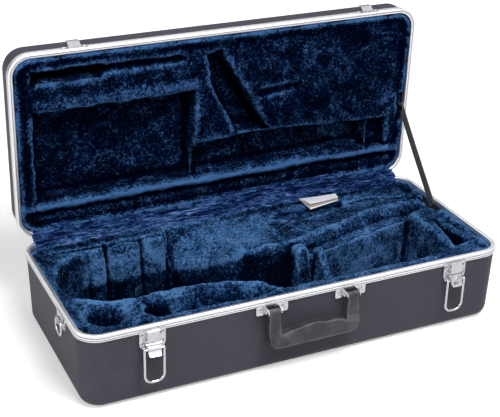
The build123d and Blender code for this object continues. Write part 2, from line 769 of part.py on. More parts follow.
def stay_anchor(y, z):
    face = STAY_X - STAY_T / 2
    grip = SIDE - RIM_W + RIM_LEG - face
    return rivet((face, y, z), (-1, 0, 0), grip, STAY_RIVET_HEAD)


def pad(points, low, high):
    """A foam block of this plan, trimmed to the inside of the shell."""
    return prism_z(points, low, high) & slab(FOAM_INSET, low, high)


def stay_notch(y, low, high):
    """Room for the stay's end between the foam and the rim."""
    x = (STAY_X - STAY_T / 2 - STAY_ROOM, SIDE)
    return block(x, about(y, STAY_NOTCH_HALF), (low, high))


def bell_well():
    high = FOAM_TOP - FOAM_LOW
    return Pos(BELL_X, BELL_Y, FOAM_LOW + high / 2) * Cylinder(BELL_R, high + FOAM_CLEAR)


def base_floor_pad():
    return slab(FLOOR_INSET, WALL, FOAM_LOW)


def base_left_pad():
    plan = [(-PLAN_X, POCKET_FRONT), (BELL_X, POCKET_FRONT), (BELL_X, PLAN_Y), (-PLAN_X, PLAN_Y)]
    return pad(plan, FOAM_LOW, FOAM_TOP) - bell_well()


def base_rear_pad():
    """The rear terrace, sloped down to the body channel, with a shallow dish in it."""
    plan = REAR_EDGE_LEFT + REAR_EDGE_RIGHT + [(PLAN_X, PLAN_Y), (BELL_X, PLAN_Y)]
    rear = pad(plan, FOAM_LOW, FOAM_TOP)
    slope = prism_x([(0, 0), (-SLOPE_RUN, 0), (-SLOPE_RUN, -SLOPE_DROP)], about(0, SLOPE_HALF))
    rear = rear - Pos(*SLOPE_AT, FOAM_TOP) * Rot(0, 0, SLOPE_TURN) * slope
    dish = extrude(Rot(0, 0, DISH_TURN) * Ellipse(*DISH_SIZE), 2 * DISH_DEEP)
    rear = rear - Pos(*DISH_AT, FOAM_TOP - DISH_DEEP) * dish
    notch_y = STAY_BASE[0] + STAY_NOTCH_HALF
    return rear - stay_notch(notch_y, STAY_NOTCH_LOW, FOAM_TOP + FOAM_CLEAR)


def rear_bolsters():
    """Three stuffed lobes that stand out from the rear wall of the bell pocket."""
    lobes = []
    for span in LOBE_SPANS:
        lobe = block(span, LOBE_DEPTH, LOBE_HEIGHT)
        lobes.append(fillet(lobe.edges().group_by(Axis.Y)[0], LOBE_R))
    return group(lobes)


def base_front_pad():
    """The front block: oval tray, mouthpiece hole and the neck's shallow trough."""
    plan = [(-PLAN_X, -PLAN_Y), (BLOCK_RIGHT, -PLAN_Y), (BLOCK_RIGHT, BLOCK_NOTCH_Y)]
    plan = plan + LIP_EDGE[::-1] + [(-PLAN_X, POCKET_FRONT)]
    front = pad(plan, FOAM_LOW, FOAM_TOP)
    front = front - prism_z(TROUGH, TROUGH_FLOOR, FOAM_TOP + FOAM_CLEAR)
    hole_h = FOAM_TOP + FOAM_CLEAR - HOLE_FLOOR
    front = front - Pos(*HOLE_AT, HOLE_FLOOR + hole_h / 2) * Cylinder(HOLE_R, hole_h)
    tray = extrude(Rot(0, 0, TRAY_TURN) * Ellipse(*TRAY_SIZE), FOAM_TOP)
    return front - Pos(*TRAY_AT, TRAY_FLOOR) * tray


def base_front_rail():
    left, right = RAIL_BACK
    plan = [(BLOCK_RIGHT, -PLAN_Y), (PLAN_X, -PLAN_Y), (PLAN_X, right), (BLOCK_RIGHT, left)]
    return pad(plan, FOAM_LOW, FOAM_TOP)


def base_divider():
    """The step in front of the terrace, with a post and a rib at its left end."""
    step = pad(SHELF_FRONT + REAR_EDGE_RIGHT[::-1], FOAM_LOW, SHELF_TOP)
    step = step - stay_notch(STAY_BASE[0] + STAY_NOTCH_HALF, SHELF_TOP - FOAM_CLEAR, FOAM_TOP)
    post = block(POST_X, POST_Y, (FOAM_LOW, FOAM_TOP))
    post = fillet(post.edges().filter_by(Axis.Z), POST_R)
    terrace = REAR_EDGE_LEFT[-1:] + REAR_EDGE_RIGHT[:2] + [(REAR_EDGE_RIGHT[1][0], PLAN_Y), (0, PLAN_Y)]
    post = post - prism_z(terrace, 0, LID_TOP)
    return step + post + prism_x(RIB_SIDE, RIB_X)


def base_right_pad():
    right = pad(RIGHT_PAD, FOAM_LOW, FOAM_TOP)
    right = right - prism_z(WEDGE_HOLE, FOAM_LOW - FOAM_CLEAR, FOAM_TOP + FOAM_CLEAR)
    return right - stay_notch(STAY_BASE[0], STAY_NOTCH_LOW, FOAM_TOP + FOAM_CLEAR)


def lid_top_pad():
    return slab(LID_FLOOR_INSET, LID_FLOOR, LID_TOP - WALL)


def lid_edge_pads():
    """The left and front borders of the lid's foam."""
    plan = [(-PLAN_X, -PLAN_Y), (LID_SPLIT, -PLAN_Y), (LID_SPLIT, SLOT_Y), (LID_LEFT, SLOT_Y)]
    plan = plan + [(LID_LEFT, LID_REAR), (-PLAN_X, LID_REAR)]
    return pad(plan, LID_FACE, LID_FLOOR)


def lid_neck_pad():
    """The raised bar beside the oval slot, with the shallow end of the slot cut in it."""
    end = block(SLOT_END_X, SLOT_END_Y, (LID_FACE - FOAM_CLEAR, LID_FACE + SLOT_END_DEEP))
    return pad(NECK_PAD, LID_FACE, LID_FLOOR) - end


def lid_wedge_pad():
    return pad(WEDGE_PAD, LID_FACE, LID_FLOOR)


def lid_right_pad():
    """The wide right field, round the slanted slot, and the raised end of the trough."""
    plan = [(LID_SPLIT, -PLAN_Y), (PLAN_X, -PLAN_Y), (PLAN_X, LID_REAR), (LID_RIGHT, LID_REAR)]
    field = pad(plan + RIGHT_FIELD_IN, LID_FACE, LID_FLOOR)
    field = field + pad(TROUGH_END, LID_FACE + TROUGH_END_DEEP, LID_FLOOR)
    notch = stay_notch(STAY_LID[0] - STAY_ROOM, LID_FACE - FOAM_CLEAR, LID_FACE + STAY_NOTCH_DEEP)
    return field - notch


def lid_lower_roll():
    """The roll below the trough and the lower border behind it."""
    roll = block((LID_LEFT, LID_RIGHT), (ROLL_FRONT, LID_REAR), (LID_FACE, LID_FLOOR))
    roll = fillet(roll.edges().filter_by(Axis.X).group_by(Axis.Z)[0], ROLL_R)
    plan = [(-PLAN_X, LID_REAR), (PLAN_X, LID_REAR), (PLAN_X, PLAN_Y), (-PLAN_X, PLAN_Y)]
    return roll + pad(plan, BORDER_LOW, LID_FLOOR)


def hinge_cover_strip():
    """The plush strip from the lid's lower border over both rims to the rear terrace."""
    span = about(0, STRIP_HALF)
    strip = rod_x(span, *STRIP_LINE[1], STRIP_HALF_T)
    for (y0, z0), (y1, z1) in zip(STRIP_LINE, STRIP_LINE[1:]):
        long = math.hypot(y1 - y0, z1 - z0)
        side_y = (z0 - z1) / long * STRIP_HALF_T
        side_z = (y1 - y0) / long * STRIP_HALF_T
        run = [
            (y0 + side_y, z0 + side_z),
            (y1 + side_y, z1 + side_z),
            (y1 - side_y, z1 - side_z),
            (y0 - side_y, z0 - side_z),
        ]
        strip = strip + prism_x(run, span)
    for y, z in STRIP_LINE[2:-1]:
        strip = strip + rod_x(span, y, z, STRIP_HALF_T)
    return strip


def care_tag():
    """The folded satin tag that lies from the strip's foot over the rear terrace."""
    return prism_z(TAG_PLAN, TAG_LOW, TAG_HIGH)


save("base_shell", base_shell())
save("base_rim", base_rim())
save("base_rim_splice", splice(base_rim_low, BASE_TOP))
save("base_floor_pad", base_floor_pad())
save("base_left_pad", base_left_pad())
save("base_rear_pad", base_rear_pad())
save("rear_bolsters", rear_bolsters())
save("base_front_pad", base_front_pad())
save("base_front_rail", base_front_rail())
save("base_divider", base_divider())
save("base_right_pad", base_right_pad())
save("hinge_base_leaves", hinge_base_leaves())
save("hinge_pins", hinge_pins())
save("hinge_base_rivets", rivets(base_leaf_spots, facing_back))
for name, xc in latch_xs.items():
    save(f"latch_{name}_plate", latch_plate(xc))
    save(f"latch_{name}_cover", latch_cover(xc))
    save(f"latch_{name}_pin", latch_pin(xc))
    save(f"latch_{name}_rivets", rivets(latch_rivets(xc), facing_front))
    save(f"latch_{name}_lever", latch_lever(xc))
    save(f"latch_{name}_bail", latch_bail(xc))
save("handle_brackets", group(handle_bracket(x) for x in arm_xs))
save("handle_pins", group(handle_pin(x) for x in arm_xs))
save("handle_rivets", rivets(bracket_spots, facing_front))
save("handle", handle())
for name, side in ring_sides.items():
    save(f"ring_{name}_plate", ring_plate(side))
    save(f"ring_{name}_rivets", rivets(ring_rivets(side), (side, 0, 0)))
    save(f"ring_{name}", ring(side))
save("stay_anchor_base", stay_anchor(*STAY_BASE))
save("stay_strap", stay_strap())
save("hinge_cover_strip", hinge_cover_strip())
save("care_tag", care_tag())

save("lid_shell", opened(lid_shell()))
save("lid_rim", opened(lid_rim()))
save("lid_rim_splice", opened(splice(LID_LOW, lid_rim_top)))
save("lid_top_pad", opened(lid_top_pad()))
save("lid_edge_pads", opened(lid_edge_pads()))
save("lid_neck_pad", opened(lid_neck_pad()))
save("lid_wedge_pad", opened(lid_wedge_pad()))
save("lid_right_pad", opened(lid_right_pad()))
save("lid_lower_roll", opened(lid_lower_roll()))
save("hinge_lid_leaves", opened(hinge_lid_leaves()))
save("hinge_lid_rivets", opened(rivets(lid_leaf_spots, facing_back)))
save("lid_catches", opened(group(lid_catch(x) for x in latch_xs.values())))
save("lid_catch_rivets", opened(rivets(catch_spots, facing_front)))
save("stay_anchor_lid", opened(stay_anchor(*STAY_LID)))
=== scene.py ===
import json
import math

import bpy
import numpy as np
from mathutils import Matrix, Vector, noise


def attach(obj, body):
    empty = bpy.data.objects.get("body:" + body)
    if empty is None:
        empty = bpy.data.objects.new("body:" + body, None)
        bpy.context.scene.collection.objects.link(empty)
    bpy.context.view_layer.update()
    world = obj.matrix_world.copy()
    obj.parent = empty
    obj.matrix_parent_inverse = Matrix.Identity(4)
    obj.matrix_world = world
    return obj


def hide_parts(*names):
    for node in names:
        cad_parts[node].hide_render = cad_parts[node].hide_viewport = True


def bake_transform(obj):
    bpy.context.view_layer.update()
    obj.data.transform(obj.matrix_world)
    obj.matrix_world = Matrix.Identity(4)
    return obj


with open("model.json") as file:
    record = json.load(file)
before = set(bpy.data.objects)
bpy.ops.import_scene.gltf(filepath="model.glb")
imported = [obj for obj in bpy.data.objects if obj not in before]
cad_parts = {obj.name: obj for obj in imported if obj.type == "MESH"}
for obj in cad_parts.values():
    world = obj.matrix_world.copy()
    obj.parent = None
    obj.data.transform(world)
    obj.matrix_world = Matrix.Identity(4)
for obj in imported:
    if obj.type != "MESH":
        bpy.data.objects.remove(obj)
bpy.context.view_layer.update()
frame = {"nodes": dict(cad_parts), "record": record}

# Lining plans are written in millimetres and turned into metres when a mesh is made
MM = 0.001
nodes = frame["nodes"]

# Sizes of the case, as in the frame
HALF_X = 320.0
HALF_Y = 139.0
CORNER_R = 32.0
HINGE_Y = 142.8
HINGE_Z = 112.2
OPEN_ANGLE = math.radians(89.0)

# The photograph's camera
CAMERA_SENSOR = 36.0
CAMERA_REACH = 50.0
CAMERA_PLACE = (-0.67315, -1.34890, 0.92122)
CAMERA_TURN = math.radians(25.348)
CAMERA_TILT = math.radians(26.624)
CAMERA_ROLL = math.radians(1.319)
CAMERA_LENS = 85.40
CAMERA_SHIFT = (0.0141, 0.0101)


# Small tools

def opened(x, y, z):
    """A point drawn on the shut lid, in millimetres, to its place on the open lid."""
    c, s = math.cos(OPEN_ANGLE), math.sin(OPEN_ANGLE)
    dy, dz = y - HINGE_Y, z - HINGE_Z
    return x, HINGE_Y + dy * c + dz * s, HINGE_Z - dy * s + dz * c


def add_piece(name, verts, faces, material, smooth=True):
    """A mesh object from points in metres."""
    mesh = bpy.data.meshes.new(name)
    mesh.from_pydata([tuple(v) for v in verts], [], faces)
    mesh.validate()
    mesh.materials.append(material)
    mesh.polygons.foreach_set("use_smooth", [smooth] * len(mesh.polygons))
    piece = bpy.data.objects.new(name, mesh)
    bpy.context.scene.collection.objects.link(piece)
    return piece


def settle(piece):
    """Apply the piece's modifiers to its mesh."""
    graph = bpy.context.evaluated_depsgraph_get()
    mesh = bpy.data.meshes.new_from_object(piece.evaluated_get(graph))
    piece.modifiers.clear()
    piece.data = mesh
    mesh.polygons.foreach_set("use_smooth", [True] * len(mesh.polygons))
    return piece


def points_of(mesh):
    co = np.empty(len(mesh.vertices) * 3)
    mesh.vertices.foreach_get("co", co)
    return co.reshape(-1, 3)


def normals_of(mesh):
    out = np.empty(len(mesh.vertices) * 3)
    mesh.vertex_normals.foreach_get("vector", out)
    return out.reshape(-1, 3)


def set_points(mesh, co):
    mesh.vertices.foreach_set("co", co.ravel())
    mesh.update()


def rumple(piece, depth, size, seed):
    """Push the surface in and out along its normals by soft noise of this size, in metres."""
    mesh = piece.data
    co = points_of(mesh)
    away = normals_of(mesh)
    shift = Vector((seed * 3.7, seed * 1.9, seed * 2.3))
    rise = np.array([noise.noise(Vector(p) / size + shift) for p in co])
    set_points(mesh, co + away * (rise * depth)[:, None])


def mark_painted_light(piece, rounds, full, nap):
    """Store the painted light at each point: painted highlight on edges that stand out by up to
    the full height in metres, painted shade in hollows, and the panels' painted light that nap gives."""
    mesh = piece.data
    co = points_of(mesh)
    pairs = np.empty(len(mesh.edges) * 2, dtype=np.int32)
    mesh.edges.foreach_get("vertices", pairs)
    a, b = pairs.reshape(-1, 2).T
    count = np.bincount(pairs, minlength=len(co))
    mean = co.copy()
    for _ in range(rounds):
        for axis in range(3):
            column = mean[:, axis]
            total = np.bincount(a, column[b], len(co)) + np.bincount(b, column[a], len(co))
            mean[:, axis] = 0.5 * column + 0.5 * total / np.maximum(count, 1)
    stands = ((co - mean) * normals_of(mesh)).sum(1) / full
    value = np.clip(stands, -1.0, 1.0) + nap(co / MM)
    # The attribute keeps the name pile; it holds painted highlight and painted shade
    layer = mesh.attributes.new("pile", "FLOAT", "POINT")
    layer.data.foreach_set("value", value)


# Materials

# How far the painted light mark (painted highlight on edges, painted shade in hollows, painted light on
# panels) moves a point along the plush's colours
PAINTED_LIGHT_GAIN = 0.10
# The shell's emboss, from one bump to the next in metres, and how level a face is that counts as a flat
EMBOSS_PITCH = 0.0026
LEVEL_FROM = 0.75
# The ribs and threads of webbing and satin, in radians per metre
WEBBING_RIB = 2800.0
WEBBING_THREAD = 3600.0
SATIN_RIB = 5200.0
SHELL_SHADES = [(0.3, (0.034, 0.033, 0.053)), (0.7, (0.046, 0.045, 0.071))]
WEBBING_SHADES = [(0.2, (0.022, 0.022, 0.025)), (0.8, (0.055, 0.055, 0.060))]
# The handle's colours: the lightest stop is reached on its standing edges, as painted highlight
HANDLE_SHADES = [
    (0.20, (0.012, 0.012, 0.015)),
    (0.50, (0.034, 0.034, 0.041)),
    (0.85, (0.12, 0.12, 0.135)),
]


def new_material(name):
    material = bpy.data.materials.new(name)
    material.use_nodes = True
    tree = material.node_tree
    shader = tree.nodes["Principled BSDF"]
    return material, tree, shader


def feed(tree, made, inputs):
    """Give a node's inputs their values, or link them where a socket is given."""
    for key, value in inputs.items():
        if isinstance(value, bpy.types.NodeSocket):
            tree.links.new(value, made.inputs[key])
        else:
            made.inputs[key].default_value = value


def node(tree, kind, inputs=None, **settings):
    made = tree.nodes.new(kind)
    for key, value in settings.items():
        setattr(made, key, value)
    feed(tree, made, inputs or {})
    return made


def place_in_object(tree):
    return node(tree, "ShaderNodeTexCoord").outputs["Object"]


def noise_of(tree, scale, detail, rough, vector=None, distortion=0.0):
    made = node(
        tree,
        "ShaderNodeTexNoise",
        {
            "Vector": vector or place_in_object(tree),
            "Scale": scale,
            "Detail": detail,
            "Roughness": rough,
            "Distortion": distortion,
        },
    )
    return made.outputs["Fac"]


def maths(tree, operation, a, b=0.0):
    return node(tree, "ShaderNodeMath", {0: a, 1: b}, operation=operation).outputs[0]


def weighted(tree, pairs):
    """The sum of the values, each times its own share."""
    parts = [maths(tree, "MULTIPLY", value, share) for value, share in pairs]
    total = parts[0]
    for part in parts[1:]:
        total = maths(tree, "ADD", total, part)
    return total


def wave(tree, value, rate):
    """A sine wave along a value in metres, at this rate in radians per metre."""
    return maths(tree, "SINE", maths(tree, "MULTIPLY", value, rate))


def stretched(tree, scale):
    """The place in the object, stretched by its own factor along each axis."""
    inputs = {0: place_in_object(tree), 1: scale}
    return node(tree, "ShaderNodeVectorMath", inputs, operation="MULTIPLY").outputs["Vector"]


def axes_of(tree, vector):
    split = node(tree, "ShaderNodeSeparateXYZ", {"Vector": vector})
    return [split.outputs[i] for i in range(3)]


def mix(tree, share, a, b):
    return node(tree, "ShaderNodeMix", {"Factor": share, "A": a, "B": b}).outputs["Result"]


def remap(tree, value, start, end, low, high):
    """Carry a value that runs from start to end over to the range from low to high."""
    ranges = {"From Min": start, "From Max": end, "To Min": low, "To Max": high}
    return node(tree, "ShaderNodeMapRange", {"Value": value, **ranges}).outputs["Result"]


def ramp(tree, value, stops):
    """A colour ramp of (position, colour) stops."""
    made = node(tree, "ShaderNodeValToRGB", {"Fac": value})
    bar = made.color_ramp
    while len(bar.elements) < len(stops):
        bar.elements.new(0.5)
    for element, (place, colour) in zip(bar.elements, stops):
        element.position = place
        element.color = (*colour, 1.0)
    return made.outputs["Color"]


def bump(tree, shader, height, strength, distance, after=None):
    made = node(
        tree,
        "ShaderNodeBump",
        {"Height": height, "Strength": strength, "Distance": distance},
    )
    if after is not None:
        tree.links.new(after, made.inputs["Normal"])
    tree.links.new(made.outputs["Normal"], shader.inputs["Normal"])
    return made.outputs["Normal"]


def plush(name, deep, mid, lit, sheen, weight, stretch=(1.0, 1.0, 1.0)):
    """Crushed pile with random patches of tone; painted shade between the tufts and painted highlight on
    them, and painted light from the mark on edges, in hollows and on panels.
    """
    material, tree, shader = new_material(name)
    where = stretched(tree, stretch)
    patches = noise_of(tree, 26.0, 4.0, 0.65, where, 0.9)
    tufts = noise_of(tree, 250.0, 2.0, 0.75, where, 0.6)
    fibres = noise_of(tree, 700.0, 2.0, 0.7, where)
    pile = node(tree, "ShaderNodeAttribute", attribute_name="pile").outputs["Fac"]
    # Random tone, the tufts' painted shade and highlight, and the pile attribute's painted light, mixed
    mixed = weighted(tree, [(patches, 0.34), (tufts, 0.42), (fibres, 0.24), (pile, PAINTED_LIGHT_GAIN)])
    look = {
        "Base Color": ramp(tree, mixed, [(0.435, deep), (0.515, mid), (0.62, lit)]),
        "Roughness": 0.95,
        "Specular IOR Level": 0.0,
        # The sheen follows the same mix, so painted highlights also carry more sheen
        "Sheen Weight": remap(tree, mixed, 0.45, 0.62, 0.05 * weight, weight),
        "Sheen Roughness": 0.40,
        "Sheen Tint": (*sheen, 1.0),
    }
    feed(tree, shader, look)
    first = bump(tree, shader, tufts, 1.0, 0.0045)
    bump(tree, shader, fibres, 1.0, 0.0015, first)
    return material


def moulded_shell():
    """Dark moulded plastic with a fine regular emboss, one grid on the walls and one on the flats."""
    material, tree, shader = new_material("embossed_shell_plastic")
    where = place_in_object(tree)
    x, y, z = axes_of(tree, where)
    rate = 2.0 * math.pi / EMBOSS_PITCH
    around = maths(tree, "ADD", x, y)
    walls = maths(tree, "MULTIPLY", wave(tree, around, rate), wave(tree, z, rate))
    flats = maths(tree, "MULTIPLY", wave(tree, x, rate), wave(tree, y, rate))
    up = axes_of(tree, node(tree, "ShaderNodeTexCoord").outputs["Normal"])[2]
    level = maths(tree, "GREATER_THAN", maths(tree, "ABSOLUTE", up), LEVEL_FROM)
    pattern = mix(tree, level, walls, flats)
    colour = ramp(tree, noise_of(tree, 7.0, 5.0, 0.6, where), SHELL_SHADES)
    feed(tree, shader, {"Base Color": colour, "Roughness": 0.45, "Specular IOR Level": 0.40})
    first = bump(tree, shader, pattern, 1.0, 0.0007)
    bump(tree, shader, noise_of(tree, 420.0, 3.0, 0.6, where), 0.2, 0.0004, first)
    return material


def brushed(name, colour, roughness, along):
    """Bright metal with fine draw lines along an axis: 0 for X, 1 for Y."""
    material, tree, shader = new_material(name)
    stretch = [900.0, 900.0, 900.0]
    stretch[along] = 6.0
    streaks = noise_of(tree, 1.0, 3.0, 0.6, stretched(tree, stretch))
    cloudy = noise_of(tree, 11.0, 4.0, 0.6)
    shade = ramp(tree, cloudy, [(0.3, [c * 0.93 for c in colour]), (0.7, colour)])
    rough = maths(tree, "ADD", maths(tree, "MULTIPLY", streaks, 0.16), roughness)
    feed(tree, shader, {"Base Color": shade, "Metallic": 1.0, "Roughness": rough})
    bump(tree, shader, streaks, 0.12, 0.0001)
    return material


def plated(name, colour, roughness):
    """Bright plating over pressed steel, with faint waves and dust in the finish."""
    material, tree, shader = new_material(name)
    where = place_in_object(tree)
    waves = noise_of(tree, 120.0, 2.0, 0.5, where, 0.8)
    dust = noise_of(tree, 600.0, 3.0, 0.6, where)
    shade = ramp(tree, dust, [(0.35, [c * 0.72 for c in colour]), (0.6, colour)])
    rough = maths(tree, "ADD", maths(tree, "MULTIPLY", dust, 0.1), roughness)
    feed(tree, shader, {"Base Color": shade, "Metallic": 1.0, "Roughness": rough})
    bump(tree, shader, waves, 0.7, 0.0007)
    return material


def moulded_handle():
    """Soft black moulding with a leathery grain, random patches of wear, and a painted highlight on its
    standing edges and painted shade in its hollows.
    """
    material, tree, shader = new_material("grained_handle_plastic")
    where = place_in_object(tree)
    cells = node(tree, "ShaderNodeTexVoronoi", {"Vector": where, "Scale": 620.0})
    grain = noise_of(tree, 260.0, 4.0, 0.6, where)
    wear_and_edge_highlight = noise_of(tree, 26.0, 4.0, 0.6, where)
    # The mark adds painted highlight on standing edges and painted shade in hollows
    edge = node(tree, "ShaderNodeAttribute", attribute_name="pile").outputs["Fac"]
    wear_and_edge_highlight = maths(tree, "ADD", wear_and_edge_highlight, maths(tree, "MULTIPLY", edge, 0.35))
    colour = ramp(tree, wear_and_edge_highlight, HANDLE_SHADES)
    feed(tree, shader, {"Base Color": colour, "Roughness": 0.42, "Specular IOR Level": 0.38})
    first = bump(tree, shader, cells.outputs["Distance"], 0.6, 0.0008)
    bump(tree, shader, grain, 0.5, 0.0009, first)
    return material


def webbing():
    """Woven strap: ribs across, and threads along."""
    material, tree, shader = new_material("woven_webbing")
    where = place_in_object(tree)
    _, y, z = axes_of(tree, where)
    rib = wave(tree, maths(tree, "ADD", z, y), WEBBING_RIB)
    thread = wave(tree, maths(tree, "SUBTRACT", z, y), WEBBING_THREAD)
    weave = maths(tree, "MULTIPLY", rib, thread)
    shade = maths(tree, "ADD", maths(tree, "MULTIPLY", weave, 0.3), 0.5)
    colour = ramp(tree, shade, WEBBING_SHADES)
    feed(tree, shader, {"Base Color": colour, "Roughness": 0.8, "Sheen Weight": 0.25})
    first = bump(tree, shader, weave, 0.5, 0.0004)
    bump(tree, shader, noise_of(tree, 1200.0, 2.0, 0.6, where), 0.3, 0.0003, first)
    return material


def satin(name, dull, bright):
    """Satin ribbon with a faint rib."""
    material, tree, shader = new_material(name)
    where = place_in_object(tree)
    rib = wave(tree, axes_of(tree, where)[0], SATIN_RIB)
    soft = noise_of(tree, 45.0, 3.0, 0.6, where)
    colour = ramp(tree, soft, [(0.3, dull), (0.7, bright)])
    feed(tree, shader, {"Base Color": colour, "Roughness": 0.42, "Sheen Weight": 0.3})
    bump(tree, shader, rib, 0.15, 0.0002)
    return material


PLUSH = plush(
    "navy_plush",
    deep=(0.0003, 0.0018, 0.010),
    mid=(0.006, 0.030, 0.100),
    lit=(0.085, 0.220, 0.480),
    sheen=(0.22, 0.46, 0.90),
    weight=0.50,
)
# A darker copy of the same plush for the lid: its darker colours and weaker sheen are painted shade
SHADED_LID_PLUSH = plush(
    "navy_plush_painted_shade",
    deep=(0.0002, 0.0008, 0.006),
    mid=(0.0016, 0.008, 0.036),
    lit=(0.055, 0.150, 0.360),
    sheen=(0.16, 0.38, 0.85),
    weight=0.26,
)
STRIP_PLUSH = plush(
    "blue_strip_plush",
    deep=(0.0008, 0.004, 0.028),
    mid=(0.014, 0.045, 0.150),
    lit=(0.130, 0.240, 0.520),
    sheen=(0.34, 0.48, 0.92),
    weight=0.50,
    stretch=(0.22, 1.0, 1.0),
)
SHELL = moulded_shell()
RIM = brushed("brushed_rim", (0.96, 0.96, 0.98), 0.34, 0)
GROOVE = brushed("rim_groove", (0.26, 0.25, 0.28), 0.40, 0)
STEEL = brushed("hinge_steel", (0.60, 0.60, 0.61), 0.28, 0)
CHROME = plated("bright_plating", (0.70, 0.70, 0.73), 0.08)
FASTENER = plated("plated_fastener", (0.66, 0.66, 0.68), 0.14)
HANDLE = moulded_handle()
WEBBING = webbing()
SATIN = satin("satin_tag", (0.66, 0.66, 0.76), (0.86, 0.86, 0.92))
CREAM = satin("cream_slip", (0.40, 0.35, 0.25), (0.58, 0.52, 0.40))


# Camera, floor and light

# The studio: soft light from all round, and how bright its horizon looks in a mirror
WORLD_SOFT = 0.14
WORLD_LOW = 0.10
# The heights, as the upward share of a direction, between which the mirrored sky grows bright
SKY_FROM = 0.12
SKY_TO = 0.50
# How strongly the floor glows to the eye near the case and far off, and how much of it a mirror sees
GLOW_NEAR = 0.42
GLOW_FAR = 0.80
GLOW_MIRROR = 0.60
# The distances from the case's middle, in metres, between which the glow grows
GLOW_FROM = 0.5
GLOW_TO = 1.6
# The floor's own shade, the shade that a mirror sees, and half the floor's size in metres
FLOOR_SHADE = 0.80
FLOOR_MIRRORED = 0.62
FLOOR_HALF = 6.0
WHITE = (1, 1, 1, 1)
# Softboxes: name, place, the point it looks at, size and power
CASE_MIDDLE = (0.0, 0.0, 0.1)
SOFTBOXES = [
    ("key_over", (0.15, -0.95, 1.9), CASE_MIDDLE, (1.0, 0.8), 40.0),
    ("left_soft", (-2.2, -0.5, 0.9), CASE_MIDDLE, (1.2, 1.0), 20.0),
    ("front_fill", (0.7, -2.4, 0.9), CASE_MIDDLE, (1.6, 1.0), 5.5),
    ("top_back", (0.3, 1.0, 2.0), (0, 0.1, 0.2), (1.4, 0.8), 6.0),
]


def set_camera():
    turn, tilt, roll = CAMERA_TURN, CAMERA_TILT, CAMERA_ROLL
    ahead = Vector((math.sin(turn) * math.cos(tilt), math.cos(turn) * math.cos(tilt), -math.sin(tilt)))
    right = ahead.cross(Vector((0, 0, 1))).normalized()
    up = right.cross(ahead)
    right_2 = right * math.cos(roll) + up * math.sin(roll)
    up_2 = up * math.cos(roll) - right * math.sin(roll)
    data = bpy.data.cameras.new("camera")
    data.sensor_width = CAMERA_SENSOR
    data.lens = CAMERA_LENS
    data.shift_x, data.shift_y = CAMERA_SHIFT
    data.clip_end = CAMERA_REACH
    camera = bpy.data.objects.new("camera", data)
    turned = Matrix((right_2, up_2, -ahead)).transposed().to_4x4()
    camera.matrix_world = Matrix.Translation(CAMERA_PLACE) @ turned
    bpy.context.scene.collection.objects.link(camera)
    bpy.context.scene.camera = camera


def white_to_camera(tree):
    """A shader that adds white light of its own where the eye or a mirror looks at it."""
    path = node(tree, "ShaderNodeLightPath")
    mirrored = maths(tree, "MULTIPLY", path.outputs["Is Glossy Ray"], GLOW_MIRROR)
    seen = maths(tree, "MAXIMUM", path.outputs["Is Camera Ray"], mirrored)
    seen = maths(tree, "MAXIMUM", seen, path.outputs["Is Transmission Ray"])
    away = node(tree, "ShaderNodeVectorMath", {0: place_in_object(tree)}, operation="LENGTH").outputs["Value"]
    extra = remap(tree, away, GLOW_FROM, GLOW_TO, GLOW_NEAR, GLOW_FAR)
    strength = maths(tree, "MULTIPLY", seen, extra)
    glow = node(tree, "ShaderNodeEmission", {"Color": WHITE, "Strength": strength})
    dim = mix(tree, path.outputs["Is Glossy Ray"], FLOOR_SHADE, FLOOR_MIRRORED)
    plain = node(tree, "ShaderNodeBsdfDiffuse", {"Color": dim})
    return node(tree, "ShaderNodeAddShader", {0: glow.outputs[0], 1: plain.outputs[0]}).outputs[0]


def set_floor():
    half = FLOOR_HALF
    floor = add_piece(
        "floor",
        [(-half, -half, 0), (half, -half, 0), (half, half, 0), (-half, half, 0)],
        [(0, 1, 2, 3)],
        bpy.data.materials.new("pale_floor"),
        False,
    )
    material = floor.data.materials[0]
    material.use_nodes = True
    tree = material.node_tree
    out = tree.nodes["Material Output"]
    tree.links.new(white_to_camera(tree), out.inputs["Surface"])


def set_world():
    world = bpy.data.worlds.new("studio")
    bpy.context.scene.world = world
    world.use_nodes = True
    tree = world.node_tree
    path = node(tree, "ShaderNodeLightPath")
    seen = maths(tree, "MAXIMUM", path.outputs["Is Camera Ray"], path.outputs["Is Transmission Ray"])
    height = axes_of(tree, node(tree, "ShaderNodeTexCoord").outputs["Generated"])[2]
    sky = remap(tree, height, SKY_FROM, SKY_TO, WORLD_LOW, 1.0)
    above = maths(tree, "SUBTRACT", sky, WORLD_SOFT)
    mirrored = maths(tree, "MULTIPLY", path.outputs["Is Glossy Ray"], above)
    soft = maths(tree, "ADD", mirrored, WORLD_SOFT)
    hidden = maths(tree, "SUBTRACT", 1.0, seen)
    strength = maths(tree, "ADD", maths(tree, "MULTIPLY", soft, hidden), seen)
    feed(tree, tree.nodes["Background"], {"Color": WHITE, "Strength": strength})


def add_softbox(name, place, aim, size, power):
    data = bpy.data.lights.new(name, "AREA")
    data.shape = "RECTANGLE"
    data.size, data.size_y = size
    data.energy = power
    lamp = bpy.data.objects.new(name, data)
    lamp.location = place
    lamp.rotation_euler = (Vector(aim) - Vector(place)).to_track_quat("-Z", "Y").to_euler()
    bpy.context.scene.collection.objects.link(lamp)


def set_lights():
    for softbox in SOFTBOXES:
        add_softbox(*softbox)


# Linings: a height over a plan, in millimetres, turned into one soft continuous skin

